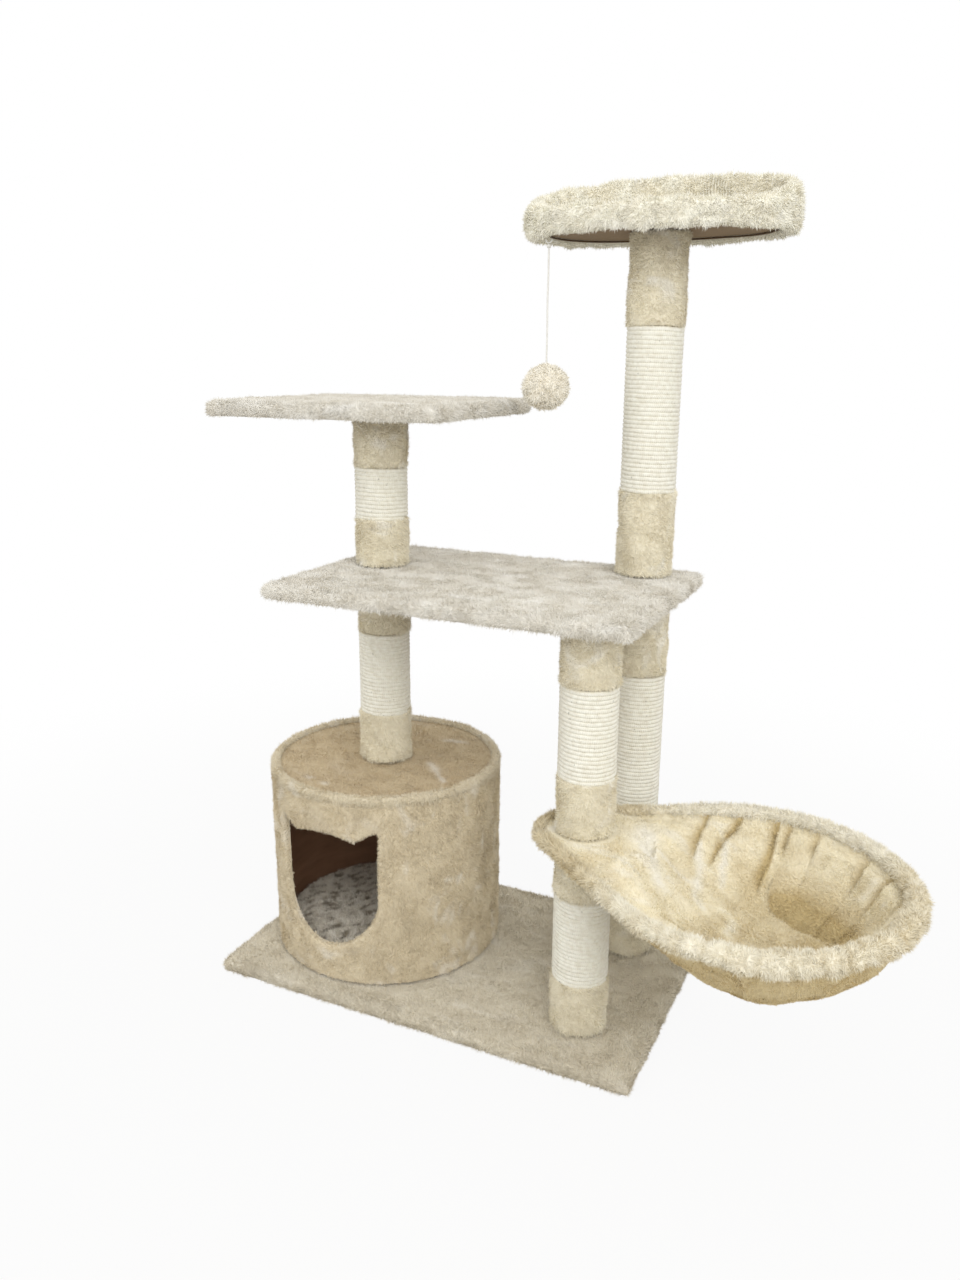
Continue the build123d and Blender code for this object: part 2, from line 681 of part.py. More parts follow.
with BuildPart() as string:
    discs([((TOY_X, TOY_Y), STRING_BOTTOM)], STRING_DIAMETER / 2, STRING_LENGTH)
save(string, "toy_string")

with BuildPart() as pompom:
    ball(POMPOM_CENTRE, POMPOM_DIAMETER)
save(pompom, "toy_pompom")

print("string volume", string.part.volume)
print("string section times length", math.pi * STRING_DIAMETER**2 / 4 * STRING_LENGTH)
print("toy place", TOY_X, TOY_Y, "eye", EYE_BOTTOM, "knot", KNOT_CENTRE, "pompom", POMPOM_CENTRE)
print("perch", PERCH_BOTTOM, "rim", RIM_BOTTOM, "top", RIM_BOTTOM + RIM_BACK)
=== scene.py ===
"""Looks of a plush cat tree: covered boards, rope-wound posts, a round cat house,
a hanging basket, a rimmed perch and a pompom on a string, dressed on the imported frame."""

import json
import math

import bmesh
import bpy
from bpy.props import FloatProperty, FloatVectorProperty, IntProperty, PointerProperty
from bpy.types import Operator, Panel, PropertyGroup
from mathutils import Matrix, Vector, geometry, noise


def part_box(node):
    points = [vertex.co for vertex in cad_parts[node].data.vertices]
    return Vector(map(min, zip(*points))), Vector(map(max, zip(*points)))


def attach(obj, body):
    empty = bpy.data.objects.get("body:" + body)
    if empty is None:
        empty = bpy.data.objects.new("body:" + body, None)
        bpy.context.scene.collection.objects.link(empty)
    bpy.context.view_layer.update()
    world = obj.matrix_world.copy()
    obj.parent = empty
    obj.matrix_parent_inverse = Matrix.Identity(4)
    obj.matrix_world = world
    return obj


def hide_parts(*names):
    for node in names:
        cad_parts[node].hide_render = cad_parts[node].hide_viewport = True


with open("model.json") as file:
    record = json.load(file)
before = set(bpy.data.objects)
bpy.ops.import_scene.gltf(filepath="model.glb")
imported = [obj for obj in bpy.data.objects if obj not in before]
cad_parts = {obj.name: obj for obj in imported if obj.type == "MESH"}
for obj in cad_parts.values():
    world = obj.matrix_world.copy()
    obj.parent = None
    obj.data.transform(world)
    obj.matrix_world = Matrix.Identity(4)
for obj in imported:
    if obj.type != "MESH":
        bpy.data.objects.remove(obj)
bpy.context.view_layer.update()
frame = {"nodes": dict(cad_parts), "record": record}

bl_info = {
    "name": "Plush Cat Tree",
    "version": (1, 0, 0),
    "blender": (4, 5, 0),
    "location": "3D View > Sidebar > Cat Tree",
    "description": "Dresses a cat tree in plush, rope and fabric",
    "category": "Add Mesh",
}

SKIN_MAP = "OFBake"
PILE_WEIGHT = "pile"
# Pile tone: below 0 mostly painted shade, above 0 painted light and painted sheen, with random tone mixed in
TONE = "tone"
UP = Vector((0, 0, 1))
WHITE = (1, 1, 1, 1)
TUBE_SURFACE = 0.0302  # radius just outside the posts' cardboard tubes
PILE_ROOM = 0.0040  # how far a skin lies under the tips of its pile
DOUBLES = 2e-5  # points nearer than this are one point


def centre_of(node):
    """The middle of a node's box, seen from above."""
    low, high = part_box(node)
    return Vector(((low.x + high.x) / 2, (low.y + high.y) / 2, 0))


LEFT_COLUMN = centre_of("left_lower_tube")
FRONT_COLUMN = centre_of("front_lower_tube")
REAR_COLUMN = centre_of("top_tube")
POSTS = ("left_lower", "left_upper", "front_lower", "front_upper", "rear_lower", "top")


# Settings


def size_of(name, description, default):
    """A length that a user may change."""
    return FloatProperty(name=name, description=description, default=default, unit="LENGTH")


def tint_of(name, description, default):
    """A colour that a user may change."""
    return FloatVectorProperty(name=name, description=description, default=default, subtype="COLOR")


def angle_of(name, description, degrees):
    """An angle that a user may change."""
    return FloatProperty(name=name, description=description, default=math.radians(degrees), subtype="ANGLE")


def number_of(name, description, default):
    """A plain number that a user may change."""
    return FloatProperty(name=name, description=description, default=default)


class PlushSettings(PropertyGroup):
    """Pile of the plush fabrics."""

    length: size_of("Pile length", "Length of the pile on boards, posts and house", 0.0062)
    shag: size_of("Shag length", "Length of the longer pile on basket and perch", 0.0105)
    blade: size_of("Tuft width", "Width of one tuft of pile", 0.0010)
    density: number_of("Density", "Tufts on a square metre of fabric", 680000.0)
    swirl: size_of("Swirl size", "Size of the patches of pile that lean one way", 0.032)
    stone: tint_of("Stone", "Colour of the plush on base and platforms", (0.87, 0.845, 0.78))
    beige: tint_of("Beige", "Colour of the plush on the posts", (0.925, 0.87, 0.71))
    tan: tint_of("Tan", "Colour of the plush on the house", (0.79, 0.70, 0.52))
    cream: tint_of("Cream", "Colour of the plush on the perch", (0.98, 0.96, 0.86))
    honey: tint_of("Honey", "Colour of the plush in the basket", (0.97, 0.905, 0.715))
    grey: tint_of("Grey", "Light tufts of the house cushion", (0.97, 0.93, 0.83))


class RopeSettings(PropertyGroup):
    """Rope wound round the posts."""

    diameter: size_of("Rope diameter", "Thickness of the rope", 0.0053)
    sides: IntProperty(name="Sides", description="Sides of the rope's round section", default=7, min=5)
    fibre: tint_of("Fibre", "Colour of the rope's fibres", (0.92, 0.90, 0.80))


class HouseSettings(PropertyGroup):
    """Round house with a doorway shaped like a cat's head."""

    door_width: size_of("Doorway width", "Width between the doorway's cheeks", 0.158)
    door_shift: size_of("Doorway shift", "How far the doorway's middle lies beside the front", -0.007)
    fuzz: size_of("Fuzz", "How far the pile reaches into the doorway", 0.0015)
    sill: size_of("Sill", "Height of the doorway's lowest point above the base", 0.047)
    dip: size_of("Dip", "Height of the dips beside the ears", 0.210)
    brow: size_of("Brow", "Height of the middle of the doorway's top", 0.219)
    ear: size_of("Ear", "Height of the tips of the ears", 0.227)
    ear_width: size_of("Ear width", "Width of each ear", 0.033)


class BasketSettings(PropertyGroup):
    """Hanging basket on its hoop round the front post."""

    angle: angle_of("Direction", "Direction that the basket hangs in", -5)
    reach: size_of("Reach", "From the post to the middle of the bowl", 0.206)
    hoop: size_of("Hoop radius", "Radius of the hoop's large arc", 0.171)
    neck: size_of("Neck radius", "Radius of the hoop's arc round the post", 0.054)
    depth: size_of("Depth", "Depth of the bowl below the hoop", 0.096)
    roll: size_of("Roll radius", "Radius of the stuffed roll's skin round the bowl", 0.0108)
    roll_neck: size_of("Roll radius at the neck", "Radius of the stuffed roll's skin beside the post", 0.0072)
    pleat: size_of("Gather depth", "How far the gathered cloth bulges between its creases", 0.014)


class PerchSettings(PropertyGroup):
    """Oval perch with a stuffed rim."""

    length: size_of("Length", "Length of the perch", 0.330)
    width: size_of("Width", "Width of the perch", 0.216)
    end_radius: size_of("End radius", "Radius of the perch's ends", 0.100)
    wall: size_of("Rim thickness", "Thickness of the stuffed rim", 0.026)
    front: size_of("Front height", "Height of the rim at the front", 0.039)
    ramp: size_of("Ramp start", "How far before the middle the rim starts to rise", 0.062)


class ToySettings(PropertyGroup):
    """Pompom on its string."""

    string: size_of("String length", "Length of the string, with the end that is tied inside the pompom", 0.142)
    thread: size_of("String diameter", "Thickness of the string", 0.0022)
    yarn: tint_of("Yarn", "Colour of the pompom's yarn", (0.98, 0.945, 0.85))


class StageSettings(PropertyGroup):
    """Camera and light."""

    eye: FloatVectorProperty(
        name="Camera place", description="Where the camera stands", default=(0.57277, -1.1743, 0.84286), subtype="XYZ"
    )
    turn: angle_of("Camera direction", "How far the camera is turned from the long side's square view", 25.39)
    tilt: angle_of("Camera tilt", "How far the camera looks down", 15.43)
    roll: angle_of("Camera roll", "How far the camera is turned about its own line of sight", -0.33)
    lens: number_of("Lens", "Focal length in millimetres", 28.50)
    key: number_of("Key light", "Power of the main lamp in watts", 34.0)
    fill: number_of("Fill light", "Power of the second lamp in watts", 9.0)
    sky: number_of("Sky", "Strength of the even light from all round", 0.80)


# Node helpers


def add_node(tree, kind, values=None, **settings):
    """Add a node, with its properties and the values of its named or numbered inputs."""
    node = tree.nodes.new(kind)
    for key, value in settings.items():
        setattr(node, key, value)
    for key, value in (values or {}).items():
        if isinstance(value, bpy.types.NodeSocket):
            tree.links.new(value, node.inputs[key])
        else:
            node.inputs[key].default_value = value
    return node


def result_of(tree, kind, values=None, **settings):
    """Add a node and give its first result."""
    return add_node(tree, kind, values, **settings).outputs[0]


def new_group(name, kind, inputs, outputs):
    """An empty node group, and the named sockets that go in and come out."""
    tree = bpy.data.node_groups.new(name, kind)
    for label, socket, default in inputs:
        made = tree.interface.new_socket(label, in_out="INPUT", socket_type="NodeSocket" + socket)
        if default is not None:
            made.default_value = default
    for label, socket in outputs:
        tree.interface.new_socket(label, in_out="OUTPUT", socket_type="NodeSocket" + socket)
    return tree, tree.nodes.new("NodeGroupInput").outputs, tree.nodes.new("NodeGroupOutput").inputs


def use_tree(piece, tree, values):
    """Run a geometry tree on a piece and keep the result as its plain mesh."""
    modifier = piece.modifiers.new(tree.name, "NODES")
    modifier.node_group = tree
    for item in tree.interface.items_tree:
        if item.item_type == "SOCKET" and item.in_out == "INPUT" and item.name in values:
            modifier[item.identifier] = values[item.name]
    depsgraph = bpy.context.evaluated_depsgraph_get()
    made = bpy.data.meshes.new_from_object(
        piece.evaluated_get(depsgraph), preserve_all_data_layers=True, depsgraph=depsgraph
    )
    piece.modifiers.clear()
    piece.data = made


def maths(tree, operation, *values, clamp=False):
    """Result of a maths node."""
    return result_of(tree, "ShaderNodeMath", dict(enumerate(values)), operation=operation, use_clamp=clamp)


def vectors(tree, operation, *values, scale=None):
    """Result of a vector maths node: a number for a length or a dot product."""
    given = dict(enumerate(values))
    if scale is not None:
        given["Scale"] = scale
    node = add_node(tree, "ShaderNodeVectorMath", given, operation=operation)
    return node.outputs["Value" if operation in ("LENGTH", "DOT_PRODUCT") else "Vector"]


def object_place(tree):
    """The place on the piece that a material is worked out for."""
    return add_node(tree, "ShaderNodeTexCoord").outputs["Object"]


def cloud(tree, place, scale, detail, output="Fac", **more):
    """Noise at a place: how light it is, or its colour."""
    values = {"Vector": place, "Scale": scale, "Detail": detail, **more}
    return add_node(tree, "ShaderNodeTexNoise", values).outputs[output]


def spread(tree, value, low, high, to=(0.0, 1.0), kind="LINEAR"):
    """A value drawn out from one range to another."""
    values = {"Value": value, "From Min": low, "From Max": high, "To Min": to[0], "To Max": to[1]}
    return result_of(tree, "ShaderNodeMapRange", values, interpolation_type=kind)


def mixed(tree, part, first, second):
    """A mix of two colours."""
    return add_node(tree, "ShaderNodeMix", {"Factor": part, 6: first, 7: second}, data_type="RGBA").outputs[2]


def stored(tree, shape, name, value, data_type, domain="POINT"):
    """A shape with a value stored on it by name."""
    values = {"Geometry": shape, "Name": name, "Value": value}
    return result_of(tree, "GeometryNodeStoreNamedAttribute", values, data_type=data_type, domain=domain)


def recalled(tree, name, data_type="FLOAT"):
    """A value that was stored on a shape by name."""
    node = add_node(tree, "GeometryNodeInputNamedAttribute", {"Name": name}, data_type=data_type)
    return node.outputs["Attribute"]


def chance(tree, low, high, seed):
    """A random number between two."""
    values = {2: low, 3: high, "Seed": seed}
    return add_node(tree, "FunctionNodeRandomValue", values, data_type="FLOAT").outputs[1]


def background_rays(tree):
    """1 for rays that see the background straight, by reflection or through glass."""
    path = add_node(tree, "ShaderNodeLightPath").outputs
    seen = maths(tree, "MAXIMUM", path["Is Camera Ray"], path["Is Glossy Ray"])
    return maths(tree, "MAXIMUM", seen, path["Is Transmission Ray"])


# Shared shader groups


def plush_shade():
    """Group: colour of brushed plush, lighter and darker by patches, by tufts and by the pile's tone, which carries
    painted shade, painted light and painted sheen.
    """
    name = "Plush shade"
    if name in bpy.data.node_groups:
        return bpy.data.node_groups[name]
    inputs = [
        ("Light", "Color", (0.8, 0.7, 0.6, 1)),
        ("Shade", "Color", (0.6, 0.5, 0.4, 1)),
        ("Patch size", "Float", 0.04),
        ("Tuft size", "Float", 0.006),
        ("Brushed", "Float", 0.5),
        ("Deep", "Color", (0.4, 0.3, 0.2, 1)),
    ]
    tree, given, result = new_group(name, "ShaderNodeTree", inputs, [("Color", "Color")])
    place = object_place(tree)
    patches = cloud(tree, place, maths(tree, "DIVIDE", 1.0, given["Patch size"]), 3.0)
    tufts = cloud(tree, place, maths(tree, "DIVIDE", 1.0, given["Tuft size"]), 2.0)
    patch = spread(tree, patches, 0.34, 0.66, kind="SMOOTHSTEP")
    speck = maths(tree, "MULTIPLY", spread(tree, tufts, 0.3, 0.7), 0.4)
    colour = mixed(tree, maths(tree, "MULTIPLY_ADD", patch, 0.6, speck), given["Shade"], given["Light"])
    # Brushed strokes: crushed pile, painted pale as its sheen
    strokes = cloud(tree, vectors(tree, "MULTIPLY", place, (16.0, 42.0, 26.0)), 1.0, 4.0, Distortion=0.6)
    stroke = spread(tree, strokes, 0.54, 0.70, (0.0, given["Brushed"]), "SMOOTHSTEP")
    pale = mixed(tree, 0.62, given["Light"], (0.97, 0.955, 0.92, 1))
    colour = mixed(tree, stroke, colour, pale)
    # Pile tone below 0 darkens towards Deep, mostly painted shade with some random tone; above 0 it pales, painted
    # light and painted sheen with some random tone
    tone = add_node(tree, "ShaderNodeAttribute", attribute_name=TONE).outputs["Fac"]
    colour = mixed(tree, maths(tree, "MULTIPLY", tone, -1.0, clamp=True), colour, given["Deep"])
    colour = mixed(tree, maths(tree, "MULTIPLY", tone, 1.0, clamp=True), colour, pale)
    tree.links.new(colour, result["Color"])
    return tree


def grain_shade():
    """Group: colour and height of boards, card and metal, drawn out along one way."""
    name = "Grain shade"
    if name in bpy.data.node_groups:
        return bpy.data.node_groups[name]
    inputs = [
        ("Light", "Color", (0.6, 0.5, 0.4, 1)),
        ("Dark", "Color", (0.4, 0.3, 0.2, 1)),
        ("Stretch", "Vector", (60.0, 60.0, 60.0)),
    ]
    tree, given, result = new_group(name, "ShaderNodeTree", inputs, [("Color", "Color"), ("Height", "Float")])
    drawn = vectors(tree, "MULTIPLY", object_place(tree), given["Stretch"])
    grain = cloud(tree, drawn, 1.0, 5.0, Roughness=0.62)
    tree.links.new(mixed(tree, spread(tree, grain, 0.3, 0.7), given["Dark"], given["Light"]), result["Color"])
    tree.links.new(grain, result["Height"])
    return tree


# Materials


def shader_of(name, roughness, sheen=0.0, metallic=0.0):
    """A new material and its shader, with the finishes that are even all over."""
    material = bpy.data.materials.new(name)
    material.use_nodes = True
    shader = material.node_tree.nodes["Principled BSDF"]
    finish = {
        "Roughness": roughness,
        "Sheen Weight": sheen,
        "Sheen Roughness": 0.5,
        "Metallic": metallic,
        "Specular IOR Level": 0.5 if metallic else 0.2,
    }
    for label, value in finish.items():
        shader.inputs[label].default_value = value
    return material, shader


def wear(material, shader, colour, height=None, strength=0.4, distance=0.0004):
    """Link a colour, and a height as bump, to a material's shader."""
    tree = material.node_tree
    tree.links.new(colour, shader.inputs["Base Color"])
    if height is not None:
        values = {"Height": height, "Strength": strength, "Distance": distance}
        tree.links.new(result_of(tree, "ShaderNodeBump", values), shader.inputs["Normal"])
    return material


def tinted(colour, factors):
    """A colour with a factor on each of red, green and blue."""
    return [c * t for c, t in zip(colour, factors)]


def darker(colour, part):
    """The same colour at a part of its brightness, a little warmer."""
    return (colour[0] * part, colour[1] * part * 0.975, colour[2] * part * 0.93, 1)


# deep is the colour a negative pile tone darkens to: mostly painted shade, with some random darker tone
def plush_material(name, colour, shade=0.84, patch=0.035, tuft=0.005, brushed=0.5, deep=(0.70, 0.61, 0.42)):
    """Brushed plush in one colour."""
    if name in bpy.data.materials:
        return bpy.data.materials[name]
    material, shader = shader_of(name, 0.92, sheen=0.25)
    values = {
        "Light": (*colour, 1),
        "Shade": darker(colour, shade),
        "Patch size": patch,
        "Tuft size": tuft,
        "Brushed": brushed,
        "Deep": (*tinted(colour, deep), 1),
    }
    group = add_node(material.node_tree, "ShaderNodeGroup", values, node_tree=plush_shade())
    return wear(material, shader, group.outputs["Color"])


def grain_material(name, light, dark, stretch, roughness, bump=0.0004, metallic=0.0):
    """Board, card, thread or metal with a grain."""
    if name in bpy.data.materials:
        return bpy.data.materials[name]
    material, shader = shader_of(name, roughness, metallic=metallic)
    values = {"Light": (*light, 1), "Dark": (*dark, 1), "Stretch": stretch}
    group = add_node(material.node_tree, "ShaderNodeGroup", values, node_tree=grain_shade())
    return wear(material, shader, group.outputs["Color"], group.outputs["Height"], 0.6, bump)


def rope_material(colour):
    """Twisted fibres: slanting strands, pale and straw tones and a few dark flecks."""
    name = "Sisal rope"
    if name in bpy.data.materials:
        return bpy.data.materials[name]
    material, shader = shader_of(name, 0.8)
    tree = material.node_tree
    lay = add_node(tree, "ShaderNodeAttribute", attribute_name="lay").outputs["Vector"]
    split = add_node(tree, "ShaderNodeSeparateXYZ", {0: lay}).outputs
    strands = maths(tree, "MULTIPLY_ADD", split[0], 420.0, split[1])
    ridge = maths(tree, "SINE", maths(tree, "MULTIPLY", strands, 6.2832))
    place = object_place(tree)
    tone = spread(tree, cloud(tree, place, 170.0, 4.0, Roughness=0.7), 0.33, 0.6)
    straw = mixed(tree, tone, darker(colour, 0.88), (*colour, 1))
    flecks = spread(tree, cloud(tree, place, 330.0, 1.0), 0.72, 0.80)
    return wear(material, shader, mixed(tree, flecks, straw, darker(colour, 0.5)), ridge, 0.4, 0.0005)


def lining_material():
    """Thin taupe lining with a fine crossed weave."""
    name = "Taupe lining"
    if name in bpy.data.materials:
        return bpy.data.materials[name]
    material, shader = shader_of(name, 0.85, sheen=0.1)
    tree = material.node_tree
    values = {"Vector": object_place(tree), "Scale": 260.0, "Distortion": 1.5}
    across, along = (
        add_node(tree, "ShaderNodeTexWave", values, bands_direction=way).outputs["Fac"] for way in ("X", "Y")
    )
    values = {
        "Light": (0.27, 0.18, 0.09, 1),
        "Shade": (0.205, 0.135, 0.065, 1),
        "Patch size": 0.06,
        "Tuft size": 0.002,
        "Brushed": 0.0,
    }
    group = add_node(tree, "ShaderNodeGroup", values, node_tree=plush_shade())
    return wear(material, shader, group.outputs["Color"], maths(tree, "ADD", across, along), 0.4, 0.0003)


# Geometry trees


def pile_tree():
    """Tree: grows a pile of leaning tufts on a skin and keeps the skin under them."""
    name = "Plush pile"
    if name in bpy.data.node_groups:
        return bpy.data.node_groups[name]
    inputs = [
        ("Skin", "Geometry", None),
        ("Density", "Float", 400000.0),
        ("Length", "Float", 0.007),
        ("Width", "Float", 0.0013),
        ("Lean", "Float", 0.9),
        ("Swirl size", "Float", 0.03),
        ("Comb", "Vector", (0.0, 0.0, 0.0)),
        ("Seed", "Int", 1),
        ("Skin kept", "Bool", True),
        ("Pile", "Material", None),
    ]
    tree, given, result = new_group(name, "GeometryNodeTree", inputs, [("Plush", "Geometry")])
    weight = recalled(tree, PILE_WEIGHT)
    density = maths(tree, "MULTIPLY", given["Density"], maths(tree, "MULTIPLY", weight, 5.0, clamp=True))
    values = {"Mesh": given["Skin"], "Density": density, "Seed": given["Seed"]}
    roots = add_node(tree, "GeometryNodeDistributePointsOnFaces", values, distribute_method="RANDOM").outputs
    normal = roots["Normal"]
    place = result_of(tree, "GeometryNodeInputPosition")

    # Which way each tuft leans along the skin: by swirls, by chance and by the comb
    swirl = cloud(tree, place, maths(tree, "DIVIDE", 1.0, given["Swirl size"]), 3.0, "Color")
    swirl = vectors(tree, "MULTIPLY_ADD", swirl, (4.0, 4.0, 4.0), (-2.0, -2.0, -2.0))
    values = {0: (-0.6, -0.6, -0.6), 1: (0.6, 0.6, 0.6), "Seed": 7}
    stray = result_of(tree, "FunctionNodeRandomValue", values, data_type="FLOAT_VECTOR")
    combed = vectors(tree, "ADD", vectors(tree, "ADD", swirl, stray), given["Comb"])
    raised = vectors(tree, "SCALE", normal, scale=vectors(tree, "DOT_PRODUCT", combed, normal))
    leaning = vectors(tree, "SCALE", vectors(tree, "SUBTRACT", combed, raised), scale=given["Lean"])
    values = {"Vector": vectors(tree, "ADD", normal, leaning)}
    upright = result_of(tree, "FunctionNodeAlignRotationToVector", values, axis="Z")
    values = {"Rotation": upright, "Vector": vectors(tree, "SCALE", normal, scale=-1.0)}
    facing = result_of(tree, "FunctionNodeAlignRotationToVector", values, axis="X", pivot_axis="Z")
    values = {"Axis": (0, 0, 1), "Angle": chance(tree, -0.7, 0.7, 3)}
    values = {"Rotation": facing, "Rotate By": result_of(tree, "FunctionNodeAxisAngleToRotation", values)}
    turned = result_of(tree, "FunctionNodeRotateRotation", values, rotation_space="LOCAL")

    # How tall each tuft is: by chance, by clumps and by the skin's weight
    tall = maths(tree, "MULTIPLY", given["Length"], chance(tree, 0.62, 1.1, 5))
    bunch = spread(tree, cloud(tree, place, 150.0, 1.0), 0.3, 0.7, (0.6, 1.25))
    height = maths(tree, "MULTIPLY", maths(tree, "MULTIPLY", tall, bunch), weight)
    size = result_of(tree, "ShaderNodeCombineXYZ", {0: given["Width"], 1: given["Width"], 2: height})

    # One tuft: a blade of width and height 1 that stands on the middle of its foot
    tuft = result_of(tree, "GeometryNodeMeshCircle", {"Vertices": 3, "Radius": 1.0}, fill_type="NGON")
    tuft = result_of(tree, "GeometryNodeTransform", {"Geometry": tuft, "Translation": (0.5, 0, 0)})
    values = {"Geometry": tuft, "Rotation": (0, -math.pi / 2, 0), "Scale": (1 / 1.5, 1 / math.sqrt(3), 1)}
    tuft = result_of(tree, "GeometryNodeTransform", values)

    # The pile takes its shading and its map from the skin
    shading = vectors(tree, "NORMALIZE", vectors(tree, "MULTIPLY_ADD", leaning, (0.30, 0.30, 0.30), normal))
    points = stored(tree, roots["Points"], "facing", shading, "FLOAT_VECTOR")
    values = {"Points": points, "Instance": tuft, "Rotation": turned, "Scale": size}
    grown = result_of(tree, "GeometryNodeInstanceOnPoints", values)
    grown = result_of(tree, "GeometryNodeRealizeInstances", {"Geometry": grown})
    grown = stored(tree, grown, SKIN_MAP, recalled(tree, SKIN_MAP, "FLOAT_VECTOR"), "FLOAT2", "CORNER")
    values = {"Mesh": grown, "Custom Normal": recalled(tree, "facing", "FLOAT_VECTOR")}
    grown = result_of(tree, "GeometryNodeSetMeshNormal", values, mode="FREE", domain="POINT")
    grown = result_of(tree, "GeometryNodeSetMaterial", {"Geometry": grown, "Material": given["Pile"]})
    dressed = result_of(tree, "GeometryNodeSetMaterial", {"Geometry": given["Skin"], "Material": given["Pile"]})
    values = {"Switch": given["Skin kept"], "True": dressed}
    kept = result_of(tree, "GeometryNodeSwitch", values, input_type="GEOMETRY")
    joined = add_node(tree, "GeometryNodeJoinGeometry")
    for part in (grown, kept):
        tree.links.new(part, joined.inputs[0])
    tree.links.new(joined.outputs[0], result["Plush"])
    return tree


def rope_tree():
    """Tree: winds a rope of a given thickness round a post, turn on turn."""
    name = "Rope winding"
    if name in bpy.data.node_groups:
        return bpy.data.node_groups[name]
    inputs = [
        ("Geometry", "Geometry", None),
        ("Foot", "Vector", (0.0, 0.0, 0.0)),
        ("Height", "Float", 0.1),
        ("Radius", "Float", 0.032),
        ("Rope", "Float", 0.0053),
        ("Turns", "Float", 20.0),
        ("Sides", "Int", 7),
        ("Fibre", "Material", None),
    ]
    tree, given, result = new_group(name, "GeometryNodeTree", inputs, [("Winding", "Geometry")])
    values = {"Resolution": 36, "Rotations": given["Turns"], "Height": given["Height"]}
    values.update({end + " Radius": given["Radius"] for end in ("Start", "End")})
    coil = result_of(tree, "GeometryNodeCurveSpiral", values)
    uneven = cloud(tree, result_of(tree, "GeometryNodeInputPosition"), 60.0, 1.0, "Color")
    shift = vectors(tree, "MULTIPLY_ADD", uneven, (0.0010, 0.0010, 0.0016), (-0.0005, -0.0005, -0.0008))
    coil = result_of(tree, "GeometryNodeSetPosition", {"Geometry": coil, "Offset": shift})
    along = add_node(tree, "GeometryNodeSplineParameter").outputs
    coil = stored(tree, coil, "run", along["Length"], "FLOAT")
    values = {"Resolution": given["Sides"], "Radius": maths(tree, "MULTIPLY", given["Rope"], 0.5)}
    section = result_of(tree, "GeometryNodeCurvePrimitiveCircle", values)
    section = stored(tree, section, "turn", along["Factor"], "FLOAT")
    values = {"Curve": coil, "Profile Curve": section, "Fill Caps": True}
    rope = result_of(tree, "GeometryNodeCurveToMesh", values)
    lay = result_of(tree, "ShaderNodeCombineXYZ", {0: recalled(tree, "run"), 1: recalled(tree, "turn")})
    rope = stored(tree, rope, "lay", lay, "FLOAT_VECTOR")
    rope = result_of(tree, "GeometryNodeSetShadeSmooth", {"Geometry": rope})
    rope = result_of(tree, "GeometryNodeTransform", {"Geometry": rope, "Translation": given["Foot"]})
    rope = result_of(tree, "GeometryNodeSetMaterial", {"Geometry": rope, "Material": given["Fibre"]})
    tree.links.new(rope, result["Winding"])
    return tree


# Mesh helpers


def new_piece(name, mesh):
    """An object for a mesh, in the scene and at the origin."""
    piece = bpy.data.objects.new(name, mesh)
    bpy.context.scene.collection.objects.link(piece)
    return piece


def weigh(mesh, weights, tones=None):
    """Give a mesh its pile weights and the tone of its pile."""
    for name, values in ((PILE_WEIGHT, weights), (TONE, tones)):
        if values:
            mesh.attributes.new(name, "FLOAT", "POINT").data.foreach_set("value", values)


def plain_mesh(shape, name):
    """A smooth mesh from a finished shape."""
    mesh = bpy.data.meshes.new(name)
    shape.to_mesh(mesh)
    shape.free()
    mesh.polygons.foreach_set("use_smooth", [True] * len(mesh.polygons))
    return mesh


def skin(name, points, faces, corner_map, weights, tones=None):
    """A smooth piece with its map, its pile weights and the tone of its pile."""
    mesh = bpy.data.meshes.new(name)
    mesh.from_pydata(points, [], faces)
    layer = mesh.uv_layers.new(name=SKIN_MAP)
    layer.uv.foreach_set("vector", [value for place in corner_map for value in place])
    weigh(mesh, weights, tones)
    mesh.polygons.foreach_set("use_smooth", [True] * len(faces))
    mesh.update()
    return new_piece(name, mesh)


def row_skin(name, rows, weight):
    """A piece from rows of points that are closed on themselves, with one pile weight all over."""
    points, faces, corner_map = grid(rows)
    return skin(name, points, faces, corner_map, [weight] * len(points))


def ring_skin(name, rows, weights, tones=None):
    """A piece from rows of points whose last row meets the first."""
    points, faces, corner_map = grid(rows + rows[:1])
    total = len(points) - len(rows[0])
    faces = [tuple(i % total for i in face) for face in faces]
    return skin(name, points[:total], faces, corner_map, weights, tones)


def outward(line, i):
    """The way out, level and square to a closed line at one of its points."""
    along = (line[(i + 1) % len(line)] - line[i - 1]).normalized()
    return Vector((along.y, -along.x, 0))


def grid(rows):
    """Points, faces and map of rows of points, each row closed on itself."""
    count = len(rows[0])
    points = [tuple(p) for row in rows for p in row]
    faces, corner_map = [], []
    for j in range(len(rows) - 1):
        for i in range(count):
            k = (i + 1) % count
            faces.append((j * count + i, j * count + k, (j + 1) * count + k, (j + 1) * count + i))
            low, high = j / (len(rows) - 1), (j + 1) / (len(rows) - 1)
            left, right = i / count, (i + 1) / count
            corner_map += [(left, low), (right, low), (right, high), (left, high)]
    return points, faces, corner_map


def wobble(place, size, seed=0.0):
    """Smooth noise from -1 to 1 at a place, with bumps of about the given size."""
    return noise.noise(Vector(place) / size + Vector((seed, seed * 0.7, -seed)))


def smooth_step(value, low, high):
    """0 below low, 1 above high and an even rise between."""
    part = min(max((value - low) / (high - low), 0.0), 1.0)
    return part * part * (3 - 2 * part)


def evenly(points, count):
    """A closed line of points again, as many as asked and evenly spaced."""
    line = [Vector(p) for p in points] + [Vector(points[0])]
    lengths = [0.0]
    for a, b in zip(line, line[1:]):
        lengths.append(lengths[-1] + (b - a).length)
    found, at = [], 0
    for i in range(count):
        target = lengths[-1] * i / count
        while lengths[at + 1] < target:
            at += 1
        part = (target - lengths[at]) / max(lengths[at + 1] - lengths[at], 1e-9)
        found.append(line[at].lerp(line[at + 1], part))
    return found


